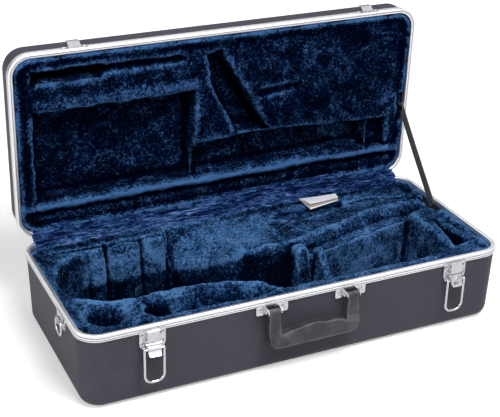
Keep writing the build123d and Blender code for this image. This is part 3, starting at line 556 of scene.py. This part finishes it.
def polygon(points, X, Y):
    """Signed distance to a polygon, more than 0 inside."""
    near = np.full(X.shape, 1e9)
    inside = np.zeros(X.shape, bool)
    for (x0, y0), (x1, y1) in zip(points, points[1:] + points[:1]):
        ex, ey = x1 - x0, y1 - y0
        t = np.clip(((X - x0) * ex + (Y - y0) * ey) / (ex * ex + ey * ey), 0, 1)
        near = np.minimum(near, np.hypot(X - x0 - t * ex, Y - y0 - t * ey))
        if y0 != y1:
            inside ^= ((y0 > Y) != (y1 > Y)) & (X < (x1 - x0) * (Y - y0) / (y1 - y0) + x0)
    return np.where(inside, near, -near)


def line_gap(points, X, Y):
    """Distance to an open line."""
    near = np.full(X.shape, 1e9)
    for (x0, y0), (x1, y1) in zip(points, points[1:]):
        ex, ey = x1 - x0, y1 - y0
        t = np.clip(((X - x0) * ex + (Y - y0) * ey) / (ex * ex + ey * ey), 0, 1)
        near = np.minimum(near, np.hypot(X - x0 - t * ex, Y - y0 - t * ey))
    return near


def oval(x, y, rx, ry, turn, X, Y):
    """Rough signed distance to an ellipse, more than 0 inside."""
    c, s = math.cos(math.radians(turn)), math.sin(math.radians(turn))
    u, v = (X - x) * c + (Y - y) * s, (Y - y) * c - (X - x) * s
    return (1.0 - np.hypot(u / rx, v / ry)) * min(rx, ry)


def rounded_max(a, b, size):
    near = np.maximum(size - np.abs(a - b), 0.0) / size
    return np.maximum(a, b) + near * near * size / 4


def carve(H, d, floor, lip, lean, sole):
    """Sink a pocket where d is over 0: rounded lip, leaning wall, rounded foot."""
    across = np.clip(d + lip, 0, lip)
    drop = lip - np.sqrt(lip * lip - across * across) + np.clip(d, 0, None) / lean
    sunk = rounded_max(H - drop, floor + 0.0 * H, sole)
    return np.where(d > -lip, np.minimum(H, sunk), H)


def heap(H, d, top, lip, lean):
    """Stand a padded block up where d is over 0."""
    across = np.clip(lip - d, 0, lip)
    drop = lip - np.sqrt(lip * lip - across * across) + np.clip(-d, 0, None) / lean
    return np.maximum(H, top - drop)


def ridge(H, gap, rise, half):
    """A soft roll of this rise along a line."""
    return H + rise * np.cos(np.clip(gap / half, 0, 1) * math.pi / 2) ** 2


def soft_step(t):
    t = np.clip(t, 0, 1)
    return t * t * (3 - 2 * t)


def box_plan(x0, y0, x1, y1):
    return [(x0, y0), (x1, y0), (x1, y1), (x0, y1)]


def lay_rolls(H, rolls, X, Y):
    """Lay every roll of a table along its line, each with its rise and half width."""
    for points, rise, half in rolls:
        H = ridge(H, line_gap(points, X, Y), rise, half)
    return H


def sink(H, hollows, X, Y):
    """Sink every hollow of a table: outline, floor, lip, lean of the wall and rounding of the foot."""
    for points, floor, lip, lean, sole in hollows:
        H = carve(H, polygon(points, X, Y), floor, lip, lean, sole)
    return H


def plan_grid(inset, step):
    hx, hy, r = HALF_X - inset, HALF_Y - inset, CORNER_R - inset
    X, Y = np.meshgrid(
        np.linspace(-hx, hx, round(2 * hx / step)),
        np.linspace(-hy, hy, round(2 * hy / step)),
        indexing="ij",
    )
    dx = np.clip(np.abs(X) - (hx - r), 0, None)
    dy = np.clip(np.abs(Y) - (hy - r), 0, None)
    far = np.hypot(dx, dy)
    pull = np.where(far > r, r / np.maximum(far, 1e-6), 1.0)
    X = np.sign(X) * (np.minimum(np.abs(X), hx - r) + dx * pull)
    Y = np.sign(Y) * (np.minimum(np.abs(Y), hy - r) + dy * pull)
    edge = r - np.hypot(np.clip(np.abs(X) - (hx - r), 0, None), np.clip(np.abs(Y) - (hy - r), 0, None))
    edge = np.minimum(edge, np.minimum(hx - np.abs(X), hy - np.abs(Y)))
    return X, Y, np.clip(edge, 0, None)


def skin(name, X, Y, H, low, place, voxel, material):
    """Close a height into a solid, remesh it evenly and soften it."""
    nx, ny = X.shape
    top = np.stack([X, Y, H], -1).reshape(-1, 3)
    foot = np.stack([X, Y, np.full_like(X, low)], -1).reshape(-1, 3)
    verts = np.array([place(*p) for p in np.concatenate([top, foot])]) * MM
    n = nx * ny
    faces = []
    for i in range(nx - 1):
        for j in range(ny - 1):
            a, b, c, d = i * ny + j, (i + 1) * ny + j, (i + 1) * ny + j + 1, i * ny + j + 1
            faces.append((a, b, c, d))
            faces.append((n + a, n + d, n + c, n + b))
    border = [i * ny for i in range(nx)] + [(nx - 1) * ny + j for j in range(1, ny)]
    border += [i * ny + ny - 1 for i in range(nx - 2, -1, -1)] + [j for j in range(ny - 2, 0, -1)]
    for a, b in zip(border, border[1:] + border[:1]):
        faces.append((b, a, n + a, n + b))
    piece = add_piece(name, verts, faces, material)
    remesh = piece.modifiers.new("even", "REMESH")
    remesh.mode = "VOXEL"
    remesh.voxel_size = voxel
    soften = piece.modifiers.new("soften", "SMOOTH")
    soften.factor = 0.5
    soften.iterations = 2
    return settle(piece)


# The deep pocket of the base: the bell's round well, as its middle and radius, and the long channel
BELL = (-225.0, 26.0, 73.0)
# Right of this the pocket is the channel alone; how far the wall leans on either side of it
BELL_END = -104
BELL_LEAN = 0.16
CHANNEL_LEAN = 0.10
POCKET_ROUND = 7.0
POCKET_SOLE = 10.0
CHANNEL = [
    (-225, -48), (-126, -48), (-72, -60), (-37, -75), (-25, -101), (264, -99), (264, 32), (134, 2),
    (108, -6), (47, -14), (47, 8), (0, 14), (-30, 25), (-60, 62), (-103, 96), (-105, 118), (-225, 118),
]
SHELF = [(47, 8), (114, 24), (226, 57), (330, 57), (330, 41), (264, 32), (134, 2), (108, -6), (47, -14)]
TERRACE_RIDGE = [(-30, 14), (49, 10), (114, 27), (226, 60), (306, 58)]
TERRACE_FOLD = [(62, 66), (80, 74), (166, 92), (224, 95), (281, 80)]
BAND_FOLD = [(-280, 108), (-112, 108)]
FRONT_LIP = [(-26, -119), (290, -119)]
POCKET_LIP = [(-285, -30), (-262, -50), (-228, -55), (-126, -55), (-72, -67), (-42, -83), (-30, -108)]
# The lobes of the pocket's rear wall, from left to right; the wall beside them and at their roots,
# and how far and how roundly they swell to the front
LOBES = [(-272.0, -241.0), (-240.0, -205.0), (-203.0, -151.5), (-149.5, -112.0)]
LOBE_BESIDE = 110.0
LOBE_ROOT = 109.0
LOBE_SWELL = 13.0
LOBE_ROUND = 0.45
# The slots between the lobes: middle, half width and how far back each runs
LOBE_SLOTS = [(-204.0, 3.2, 113.0), (-150.5, 2.0, 105.0), (-108.5, 3.8, 114.0)]
LOBE_FRONT = 80
BASE_LOW = 17.2
# Within the floor pad's outline the lining reaches deeper, so that the pockets have a floor
BASE_DEEPER = 7.0
FLOOR_PAD_EDGE = 15.0
FLOOR_PAD_SOFT = 6.0
# The plush's upper face, and how much and how far in it crowns along the rim
BASE_FACE = 105.0
BASE_CROWN = 4.0
BASE_CROWN_WIDE = 13.0
# The lower edge of the long slope: its height at places along the case
SLOPE_X = [-108.0, -64.0, -20.0, 48.0]
SLOPE_FOOT = [48.0, 62.0, 96.0, 97.0]
SLOPE_TOP_Y = 122.0
# Where the slope begins and ends along the case and towards the front, each with its soft border
SLOPE_START = (-108.0, 6.0)
SLOPE_END = (-22.0, 34.0)
SLOPE_FRONT = (-40.0, 30.0)
# Rolls and folds: line, rise and half width
BASE_ROLLS = [
    (TERRACE_RIDGE, 2.5, 11.0),
    (POCKET_LIP, 3.0, 13.0),
    (FRONT_LIP, 5.0, 17.0),
    (TERRACE_FOLD, -4.5, 4.0),
    (BAND_FOLD, -6.0, 4.5),
]
# Hollows: outline, height of the floor, radius of the lip, lean of the wall and rounding of the foot
DISH = [(60, 94), (96, 72), (140, 80), (184, 92), (184, 104), (76, 106)]
TROUGH = [(-204, -104), (-36, -104), (-46, -86), (-76, -73), (-126, -66), (-204, -66)]
WEDGE_HOLE = [(288, -8), (303, -84), (272, -88)]
BASE_STAY_ROOM = box_plan(303, 16, 330, 68)
TERRACE_HOLLOWS = [(DISH, 98.0, 6.0, 0.7, 6.0), (SHELF, 88.0, 7.0, 0.25, 8.0)]
LOBE_HOLLOWS = [
    (box_plan(x - half, LOBE_FRONT, x + half, rear), 42.0, 2.0, 0.05, 3.0) for x, half, rear in LOBE_SLOTS
]
NECK_HOLLOWS = [(TROUGH, 84.0, 9.0, 0.55, 10.0)]
# The mouthpiece hole and the oval tray, each as its middle, half sizes and turn
OVAL_HOLLOWS = [
    ((-197, -87, 18, 17, 0), 38.0, 3.5, 0.05, 6.0),
    ((-265, -77, 26, 22, -20), 80.0, 8.0, 0.30, 8.0),
]
RIGHT_HOLLOWS = [(WEDGE_HOLE, 20.0, 6.0, 0.10, 6.0), (BASE_STAY_ROOM, 99.0, 4.0, 0.6, 4.0)]
# The post and the rib beside it, whose top falls towards the front from a bend
POST = [(48, -14), (67, -12), (67, 8), (48, 8)]
POST_TOP = 104.0
POST_ROUND = 6.0
RIB = box_plan(80, -58, 91, -4)
RIB_TOP = 98.0
RIB_ROUND = 4.5
RIB_BEND_Y = -22.0
RIB_FALL = 1.3
RIB_REACH = 40
HEAP_LEAN = 0.12
# Panels of painted light, brighter where the amount is over 0, painted shade where it is under 0, deepest in
# holes and on pocket floors: lowest and highest corner, and how much
BASE_PAINTED_LIGHT = [
    ((-246, 84, 48), (-108, 112, 98), 0.60),
    ((-300, -44, 50), (-240, 106, 106), -0.45),
    ((-104, 20, 26), (50, 118, 112), 0.50),
    ((-310, -70, 0), (-100, 112, 54), -0.8),
    ((-300, -132, 60), (264, -60, 114), 0.12),
    ((100, -110, 20), (264, 60, 100), 0.25),
    ((-222, -112, 0), (-172, -64, 103), -2.2),
    ((-292, -100, 60), (-240, -56, 96), -0.5),
    ((266, -96, 0), (308, 0, 100), -1.8),
    ((-308, -64, 20), (-256, 0, 97), -0.7),
    ((-310, -74, 99), (-210, -14, 116), 0.35),
]
BASE_PAINTED_LIGHT_SOFT = 8.0
# Below the slope's lower edge the channel's wall is in shade: how much, and where it begins
UNDER_SLOPE_SHADE = 0.9
UNDER_SLOPE_GAP = 3.0
UNDER_SLOPE_SOFT = 5.0
UNDER_SLOPE_Y = (-100.0, 98.0)


def pocket_depth(X, Y):
    """Signed distance to the deep pocket, more than 0 inside, with lobes on the bell's rear wall."""
    well = BELL[2] - np.hypot(X - BELL[0], Y - BELL[1])
    pocket = np.maximum(well, polygon(CHANNEL, X, Y))
    back = np.full(X.shape, LOBE_BESIDE)
    for low, high in LOBES:
        t = np.clip((X - low) / (high - low), 0, 1)
        swell = LOBE_SWELL * np.sin(t * math.pi) ** LOBE_ROUND
        back = np.where((X >= low) & (X <= high), LOBE_ROOT - swell, back)
    return np.where(X < BELL_END, np.minimum(pocket, back - Y), pocket)


def lay_slope(H, pocket, X, Y):
    """Lower the face to the long slope from the rear band down to the channel."""
    above = np.clip(SLOPE_TOP_Y - Y, 0, None)
    below = np.clip(-pocket, 0, None)
    foot = np.interp(X, SLOPE_X, SLOPE_FOOT)
    slope = foot + (BASE_FACE - foot) * below / np.maximum(below + above, 1e-6)
    begins, ends, front = (
        soft_step((place - edge) / soft)
        for place, (edge, soft) in ((X, SLOPE_START), (X, SLOPE_END), (Y, SLOPE_FRONT))
    )
    return H + (np.minimum(slope, H) - H) * (begins * (1 - ends) * front)


def base_height(X, Y, edge):
    H = BASE_FACE + BASE_CROWN * (1 - soft_step(edge / BASE_CROWN_WIDE))
    H = lay_rolls(H, BASE_ROLLS, X, Y)
    H = sink(H, TERRACE_HOLLOWS, X, Y)
    pocket = pocket_depth(X, Y)
    H = lay_slope(H, pocket, X, Y)
    lean = np.where(X < BELL_END, BELL_LEAN, CHANNEL_LEAN)
    H = carve(H, pocket, BASE_LOW, POCKET_ROUND, lean, POCKET_SOLE)
    H = sink(H, LOBE_HOLLOWS, X, Y)
    H = heap(H, polygon(POST, X, Y), POST_TOP, POST_ROUND, HEAP_LEAN)
    rib_top = RIB_TOP - RIB_FALL * np.clip(RIB_BEND_Y - Y, 0, RIB_REACH)
    H = heap(H, polygon(RIB, X, Y), rib_top, RIB_ROUND, HEAP_LEAN)
    H = sink(H, NECK_HOLLOWS, X, Y)
    for outline, floor, lip, lean, sole in OVAL_HOLLOWS:
        H = carve(H, oval(*outline, X, Y), floor, lip, lean, sole)
    return sink(H, RIGHT_HOLLOWS, X, Y)


LID_FACE_Z = 119.0
LID_DEEP = -31.0
LID_LOW_Z = -37.5
OVAL_SLOT = [(-288, -111), (-190, -111), (-168, -106), (-168, -101), (-190, -92), (-288, -92)]
LID_HOLLOWS = [
    (box_plan(-288, -50, -45, 87), LID_DEEP, 5.0, 0.14, 7.0),
    ([(-42, 33), (77, 31), (250, 40), (250, 82), (-42, 87)], LID_DEEP, 6.0, 0.18, 7.0),
    (box_plan(-46, 40, -38, 87), LID_DEEP, 4.0, 0.14, 7.0),
    (box_plan(253, 40, 284, 86), -15.0, 5.0, 0.25, 7.0),
    ([(-25, -103), (-4, -107), (77, 28), (21, 22), (-22, -67)], LID_DEEP, 6.0, 0.12, 7.0),
    (OVAL_SLOT, -24.0, 5.0, 0.2, 7.0),
    ([(-176, -110), (-70, -108), (-62, -104), (-72, -100), (-176, -98)], -9.0, 5.0, 0.5, 7.0),
    (box_plan(303, 2, 330, 50), -8.0, 4.0, 0.6, 4.0),
]
# The lower roll, the bar under the oval slot and a crease right of the slanted slot
LID_ROLLS = [
    ([(-284, 93), (288, 93)], 5.5, 9.0),
    ([(-280, -62), (-45, -62)], 2.5, 14.0),
    ([(62, -33), (124, -38)], -4.0, 9.0),
]
# The lid's face crowns along the rim: how much, how far in it is full, and how wide it falls again
LID_CROWN = 3.5
LID_CROWN_FULL = 2.0
LID_CROWN_WIDE = 11.0
# Next to the hinges the face is set back: where, how much, and over which borders
LID_BACK_Y = 98.0
LID_BACK_DROP = 3.0
LID_BACK_SOFT = 6.0
LID_BACK_EDGE = 13.0
# Where the tag presses into the lid's lining each time the case is shut, how deep, how far the dent
# reaches round the tag, and the width of its slope
TAG_DENT = [(120, 86), (184, 92), (184, 116), (120, 116)]
TAG_DENT_DEEP = 4.2
TAG_DENT_ROUND = 20.0
TAG_DENT_SOFT = 22.0
# On the open lid: panels made brighter with painted light
LID_PAINTED_LIGHT = [
    ((-290, 130, 300), (-42, 185, 332), 0.25),
    ((-330, 120, 374), (330, 160, 402), 0.28),
    ((-46, 150, 168), (290, 185, 214), 0.15),
]
LID_PAINTED_LIGHT_SOFT = 6.0
# How much painted shade lies over the whole lid face, how much painted highlight on the lower roll's front,
# and how much brighter below the roll
LID_PAINTED_SHADE = -0.30
LID_ROLL_BRIGHT = 1.3
LID_BELOW_BRIGHT = 0.35
# The lower roll on the open lid: its height, half its width, the place of its front, and a soft border
LID_ROLL_Z = 161.0
LID_ROLL_HALF = 10.0
LID_ROLL_FRONT = 153.0
LID_ROLL_SOFT = 4.0


def lid_height(X, Y, edge):
    """How far the lining stands down from the face of the shut lid: below 0 in its hollows."""
    rising = soft_step(edge / LID_CROWN_FULL)
    H = LID_CROWN * rising * (1 - soft_step((edge - LID_CROWN_FULL) / LID_CROWN_WIDE))
    back = soft_step((Y - LID_BACK_Y) / LID_BACK_SOFT)
    H = H - LID_BACK_DROP * back * soft_step(edge / LID_BACK_EDGE)
    H = lay_rolls(H, LID_ROLLS, X, Y)
    dent = soft_step((polygon(TAG_DENT, X, Y) + TAG_DENT_ROUND) / TAG_DENT_SOFT)
    H = H - TAG_DENT_DEEP * dent
    return sink(H, LID_HOLLOWS, X, Y)


def box_share(points, low, high, soft):
    """How far each point is inside a box: 1 well inside, 0 outside, over a soft border."""
    deep = np.minimum(points - np.array(low), np.array(high) - points).min(axis=1)
    return np.clip(deep / soft, 0, 1)


def boxed_painted_light(points, boxes, start, soft):
    """The painted light at each point: a start value, and what each box of a table adds."""
    out = np.full(len(points), start)
    for low, high, amount in boxes:
        out = out + amount * box_share(points, low, high, soft)
    return out


def base_painted_light(points):
    # Painted light of the base's panels, less painted shade on the channel's wall below the slope's lower
    # edge
    out = boxed_painted_light(points, BASE_PAINTED_LIGHT, 0.0, BASE_PAINTED_LIGHT_SOFT)
    x, y, z = points.T
    foot = np.interp(x, SLOPE_X, SLOPE_FOOT)
    under = np.clip((foot - UNDER_SLOPE_GAP - z) / UNDER_SLOPE_SOFT, 0, 1)
    front, rear = UNDER_SLOPE_Y
    channel = (x > SLOPE_X[0]) & (x < SLOPE_X[-1]) & (y < rear) & (y > front)
    return out - UNDER_SLOPE_SHADE * under * channel


def lid_painted_light(points):
    """The open lid's painted light: painted shade over the face, brighter along the bar, the border and the
    trough, a painted highlight on the lower roll, and brighter below it.
    """
    out = boxed_painted_light(points, LID_PAINTED_LIGHT, LID_PAINTED_SHADE, LID_PAINTED_LIGHT_SOFT)
    x, y, z = points.T
    roll = np.clip(1.0 - np.abs(z - LID_ROLL_Z) / LID_ROLL_HALF, 0, 1)
    roll = roll * np.clip((LID_ROLL_FRONT + LID_ROLL_SOFT - y) / LID_ROLL_SOFT, 0, 1)
    below = np.clip((LID_ROLL_Z - LID_ROLL_HALF - z) / LID_ROLL_SOFT, 0, 1)
    return out + LID_ROLL_BRIGHT * roll + LID_BELOW_BRIGHT * below


def no_nap(points):
    return np.zeros(len(points))


# How far the linings stay inside the case's outline, in millimetres, and how far the painted light mark looks
# about each point for edges and hollows, in metres
LINING_INSET = 6.9
PAINTED_LIGHT_SPREAD = 0.0045
# Waves of noise in the plush: depth and size in metres, and the seed
BASE_RUMPLES = [(0.0022, 0.030, 1), (0.0014, 0.009, 2), (0.0007, 0.0045, 5)]
LID_RUMPLES = [(0.0030, 0.034, 3), (0.0016, 0.010, 4), (0.0007, 0.0045, 6)]


def make_linings():
    voxel = 0.0019
    step = 1.4
    rounds = round((PAINTED_LIGHT_SPREAD / voxel) ** 2 * 3)
    X, Y, edge = plan_grid(LINING_INSET, step)
    make_base_lining(X, Y, edge, voxel, rounds)
    make_lid_lining(X, Y, edge, voxel, rounds)


def make_base_lining(X, Y, edge, voxel, rounds):
    low = BASE_LOW - BASE_DEEPER * soft_step((edge - FLOOR_PAD_EDGE) / FLOOR_PAD_SOFT)
    base = skin("base_lining", X, Y, base_height(X, Y, edge), low, lambda *p: p, voxel, PLUSH)
    mark_painted_light(base, rounds, 0.0011, base_painted_light)
    for depth, size, seed in BASE_RUMPLES:
        rumple(base, depth, size, seed)
    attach(base, "base")
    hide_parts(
        "base_left_pad",
        "base_rear_pad",
        "base_front_pad",
        "base_front_rail",
        "base_divider",
        "base_right_pad",
        "rear_bolsters",
        "base_floor_pad",
    )


def on_lid(x, y, height):
    return opened(x, y, LID_FACE_Z - height)


def make_lid_lining(X, Y, edge, voxel, rounds):
    lid = skin("lid_lining", X, Y, lid_height(X, Y, edge), LID_LOW_Z, on_lid, voxel, SHADED_LID_PLUSH)
    mark_painted_light(lid, rounds, 0.0007, lid_painted_light)
    for depth, size, seed in LID_RUMPLES:
        rumple(lid, depth, size, seed)
    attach(lid, "lid")
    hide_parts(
        "lid_edge_pads",
        "lid_neck_pad",
        "lid_wedge_pad",
        "lid_right_pad",
        "lid_lower_roll",
        "lid_top_pad",
    )


# Aluminium rims: one drawn section carried round the rounded outline

# Section points as (inset from the outer face, height), in millimetres; a third value of 1 says that
# the face up to the next point lies in a rolled groove
BASE_RIM = [
    (0.35, 105.3), (0.0, 105.8), (0.0, 107.0, 1), (0.6, 107.2, 1), (0.6, 107.7, 1), (0.0, 107.9),
    (0.0, 110.4, 1), (0.6, 110.6, 1), (0.6, 111.1, 1), (0.0, 111.3), (0.0, 113.6), (0.4, 114.6),
    (1.3, 115.0), (2.6, 115.0, 1), (2.8, 114.5, 1), (3.3, 114.5, 1), (3.5, 115.0), (5.2, 115.0),
    (6.0, 114.6), (6.2, 113.8), (6.2, 107.4), (5.9, 107.0), (5.4, 107.0), (5.1, 107.4), (5.1, 113.0),
    (1.15, 113.0), (1.1, 105.3),
]
LID_RIM = [
    (1.1, 127.3), (0.35, 127.3), (0.0, 126.8), (0.0, 125.0, 1), (0.6, 124.8, 1), (0.6, 124.3, 1),
    (0.0, 124.1), (0.0, 121.3, 1), (0.6, 121.1, 1), (0.6, 120.6, 1), (0.0, 120.4), (0.0, 116.7),
    (0.4, 115.7), (1.3, 115.3), (2.6, 115.3, 1), (2.8, 115.8, 1), (3.3, 115.8, 1), (3.5, 115.3),
    (5.2, 115.3), (6.0, 115.7), (6.2, 116.5), (6.2, 122.9), (5.9, 123.3), (5.4, 123.3), (5.1, 122.9),
    (5.1, 117.3), (1.15, 117.3),
]


def rounded_path(inset, turns):
    """Points of the case's outline, set in, with the same number for every inset."""
    hx, hy, r = HALF_X - inset, HALF_Y - inset, CORNER_R - inset
    out = []
    for cx, cy, start in ((1, -1, -90), (1, 1, 0), (-1, 1, 90), (-1, -1, 180)):
        for k in range(turns + 1):
            a = math.radians(start + 90 * k / turns)
            out.append((cx * (hx - r) + r * math.cos(a), cy * (hy - r) + r * math.sin(a)))
    return out


def make_rim(name, section, place, body, replaced):
    rows = [rounded_path(point[0], 20) for point in section]
    n, m = len(rows[0]), len(section)
    verts = []
    for row, point in zip(rows, section):
        verts += [Vector(place(x, y, point[1])) * MM for x, y in row]
    faces, grooved = [], []
    for i in range(m):
        j = (i + 1) % m
        for k in range(n):
            q = (k + 1) % n
            faces.append((i * n + k, i * n + q, j * n + q, j * n + k))
            grooved.append(int(len(section[i]) > 2))
    piece = add_piece(name, verts, faces, RIM)
    piece.data.materials.append(GROOVE)
    piece.data.polygons.foreach_set("material_index", grooved)
    edges = piece.modifiers.new("edges", "EDGE_SPLIT")
    edges.split_angle = math.radians(50)
    settle(piece)
    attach(piece, body)
    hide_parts(replaced)


def make_rims():
    make_rim("base_rim_section", BASE_RIM, lambda *p: p, "base", "base_rim")
    make_rim("lid_rim_section", LID_RIM, opened, "lid", "lid_rim")


# Handle: the moulding with its edges eased

def make_handle():
    source = nodes["handle"]
    piece = bpy.data.objects.new("handle_moulding", source.data.copy())
    bpy.context.scene.collection.objects.link(piece)
    piece.data.materials.clear()
    piece.data.materials.append(HANDLE)
    remesh = piece.modifiers.new("even", "REMESH")
    remesh.mode = "VOXEL"
    remesh.voxel_size = 0.0008
    soften = piece.modifiers.new("soften", "SMOOTH")
    soften.factor = 0.5
    soften.iterations = 8
    settle(piece)
    # Mark painted highlight on the handle's standing edges and painted shade in its hollows
    mark_painted_light(piece, rounds=24, full=0.0009, nap=no_nap)
    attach(piece, "handle")
    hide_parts("handle")


# Soft pieces that cross the hinge

STRAP_X = 312.65
STRAP_W = 14.0
STRAP_T = 1.5
STAY_BASE = (43.0, 110.0)
STAY_LID = (28.0, 120.3)
# How far the webbing runs past its anchors, and how far its middle bows in
STAY_TAIL = 8.0
STAY_BOW = 0.6


def ribbon(name, points, width, thick, material, across=6):
    """A flat band about a line of points, in millimetres, with its broad faces towards X."""
    verts, faces = [], []
    for i, p in enumerate(points):
        ahead = (points[min(i + 1, len(points) - 1)] - points[max(i - 1, 0)]).normalized()
        side = Vector((1, 0, 0)).cross(ahead).normalized()
        face = ahead.cross(side).normalized()
        for k in range(across + 1):
            off = side * width * (k / across - 0.5)
            verts.append((p + off + face * thick / 2) * MM)
        for k in range(across, -1, -1):
            off = side * width * (k / across - 0.5)
            verts.append((p + off - face * thick / 2) * MM)
    m = 2 * (across + 1)
    for i in range(len(points) - 1):
        for k in range(m):
            q = (k + 1) % m
            faces.append((i * m + k, i * m + q, (i + 1) * m + q, (i + 1) * m + k))
    faces.append(tuple(range(m - 1, -1, -1)))
    faces.append(tuple((len(points) - 1) * m + k for k in range(m)))
    return add_piece(name, verts, faces, material)


def make_stay():
    foot = Vector((STRAP_X, *STAY_BASE))
    head = Vector(opened(STRAP_X, *STAY_LID))
    along = (head - foot).normalized()
    start, end = foot - along * STAY_TAIL, head + along * STAY_TAIL
    count = 60
    line = []
    for i in range(count + 1):
        t = i / count
        bow = math.sin(math.pi * t)
        line.append(start.lerp(end, t) + Vector((-STAY_BOW * bow, 0, 0)))
    piece = ribbon("stay_webbing", line, STRAP_W, STRAP_T, WEBBING)
    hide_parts("stay_strap")
    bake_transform(piece)


# The strip's line over both rims, from the front to the rear, as (Y, Z)
STRIP_LINE = [
    (126.0, 104.5),
    (129.5, 112.5),
    (133.5, 117.0),
    (139.0, 118.4),
    (144.0, 121.0),
    (147.5, 126.0),
    (150.5, 131.5),
]
STRIP_THICK = 0.0014
# The strip's creases along its length: where across it, how deep and how wide a share each is
STRIP_CREASES = [(0.20, 1.3, 0.07), (0.42, 1.6, 0.06), (0.60, 1.2, 0.06), (0.80, 1.4, 0.07)]


def strip_lift(x, t):
    """How far the strip's cloth stands off its line, at a place along it and a share across it."""
    lift = noise.noise(Vector((x / 34.0, t * 3.0, 5.0)))
    for place, depth, wide in STRIP_CREASES:
        drift = place + 0.05 * noise.noise(Vector((x / 70.0, place * 9.0, 0)))
        strength = 0.65 + 0.7 * noise.noise(Vector((x / 45.0, place * 9.0, 3.0)))
        lift -= depth * strength * max(0.0, 1.0 - abs(t - drift) / wide)
    return lift * math.sin(math.pi * t) ** 0.5


def make_strip():
    """The plush strip: a long cloth over both rims, with creases along it and a soft edge."""
    half = 302.0
    nx, ny = 260, 48
    line = np.array(STRIP_LINE)
    gaps = np.hypot(*np.diff(line, axis=0).T)
    run = np.concatenate([[0], np.cumsum(gaps)])
    verts = []
    for i in range(nx + 1):
        x = -half + 2 * half * i / nx
        for j in range(ny + 1):
            s = run[-1] * j / ny
            y, z = np.interp(s, run, line[:, 0]), np.interp(s, run, line[:, 1])
            lift = strip_lift(x, j / ny)
            verts.append(Vector((x, y - 0.6 * lift, z + 0.8 * lift)) * MM)
    faces = []
    for i in range(nx):
        for j in range(ny):
            a = i * (ny + 1) + j
            faces.append((a, a + ny + 1, a + ny + 2, a + 1))
    piece = add_piece("hinge_cover_cloth", verts, faces, STRIP_PLUSH)
    solid = piece.modifiers.new("thick", "SOLIDIFY")
    solid.thickness = STRIP_THICK
    solid.offset = 0.0
    sub = piece.modifiers.new("fine", "SUBSURF")
    sub.levels = sub.render_levels = 1
    settle(piece)
    # Mark painted highlight on the strip's ridges and painted shade in its creases
    mark_painted_light(piece, rounds=6, full=0.0003, nap=no_nap)
    rumple(piece, depth=0.0007, size=0.006, seed=7)
    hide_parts("hinge_cover_strip")
    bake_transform(piece)


# The tag's corners on the terrace: rear left, rear right, front right and front left
TAG_CORNERS = [(120.0, 122.0, 112.0), (182.0, 118.0, 111.0), (179.0, 102.0, 108.2), (125.6, 92.5, 106.9)]
TAG_THICK = 0.8
# The stack's height at the fold, how much it grows to the front on the left, how much of that is lost
# on the right, and how far its middle sags
TAG_FOLD = 1.6
TAG_GAPE = 7.0
TAG_GAPE_LOSS = 4.0
TAG_SAG = 0.5
# Each layer as (share of the way from the rear to the front, share of the stack's height)
TAG_OUTER = [
    (1.0, 0.0), (0.75, 0.0), (0.5, 0.02), (0.25, 0.04), (0.08, 0.10), (0.0, 0.5),
    (0.08, 0.92), (0.25, 1.0), (0.45, 1.03), (0.65, 1.02), (0.80, 1.0), (0.93, 0.96),
]
TAG_INNER = [(0.15, 0.5), (0.35, 0.48), (0.55, 0.46), (0.75, 0.45), (0.94, 0.44)]


def folded_cloth(name, layer, material):
    """A cloth that follows the layer's line from the rear to the front and back over the tag's outline."""
    rear_left, rear_right, front_right, front_left = (Vector(p) for p in TAG_CORNERS)
    nx, fine = 20, 3
    shares = np.arange((len(layer) - 1) * fine + 1) / fine
    ways = np.interp(shares, range(len(layer)), [p[0] for p in layer])
    rises = np.interp(shares, range(len(layer)), [p[1] for p in layer])
    verts, area = [], 0.0
    for i in range(nx + 1):
        u = i / nx
        rear, front = rear_left.lerp(rear_right, u), front_left.lerp(front_right, u)
        for way, rise in zip(ways, rises):
            full = TAG_FOLD + way * (TAG_GAPE - TAG_GAPE_LOSS * u)
            sag = TAG_SAG * math.sin(math.pi * u) * rise
            verts.append((rear.lerp(front, way) + Vector((0, 0, rise * full - sag))) * MM)
    faces, m = [], len(shares)
    for i in range(nx):
        for j in range(m - 1):
            a = i * m + j
            faces.append((a, a + m, a + m + 1, a + 1))
            area += ((verts[a + m] - verts[a]).cross(verts[a + 1] - verts[a])).length
    wide = (rear_left.lerp(front_left, 0.5) - rear_right.lerp(front_right, 0.5)).length * MM
    piece = add_piece(name, verts, faces, material)
    solid = piece.modifiers.new("thick", "SOLIDIFY")
    solid.thickness = TAG_THICK * MM
    solid.offset = 0.0
    settle(piece)
    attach(piece, "base")
    return piece, (wide, area / wide)


def make_tag():
    """A white ribbon tag, bare, folded once over a cream slip, lying on the terrace."""
    outer, flat = folded_cloth("folded_tag", TAG_OUTER, SATIN)
    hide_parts("care_tag")
    inner, inner_flat = folded_cloth("tag_inner_slip", TAG_INNER, CREAM)


# Finishes of the frame's own pieces

FINISHES = {
    "shell": SHELL,
    "rim": RIM,
    "handle": HANDLE,
    "webbing": WEBBING,
    "cover_strip": STRIP_PLUSH,
    "tag": SATIN,
    "lining": PLUSH,
    "hinge_steel": STEEL,
    "fastener": FASTENER,
    "bright_plating": CHROME,
}


def finish_frame():
    for part in frame["record"]["subparts"]:
        piece = nodes[part["node"]]
        material = FINISHES[part["material_slot"]]
        for slot in piece.material_slots:
            slot.material = material


set_camera()
set_world()
set_floor()
set_lights()
finish_frame()
make_linings()
make_rims()
make_handle()
make_stay()
make_strip()
make_tag()
bpy.context.scene.view_settings.view_transform = "Standard"
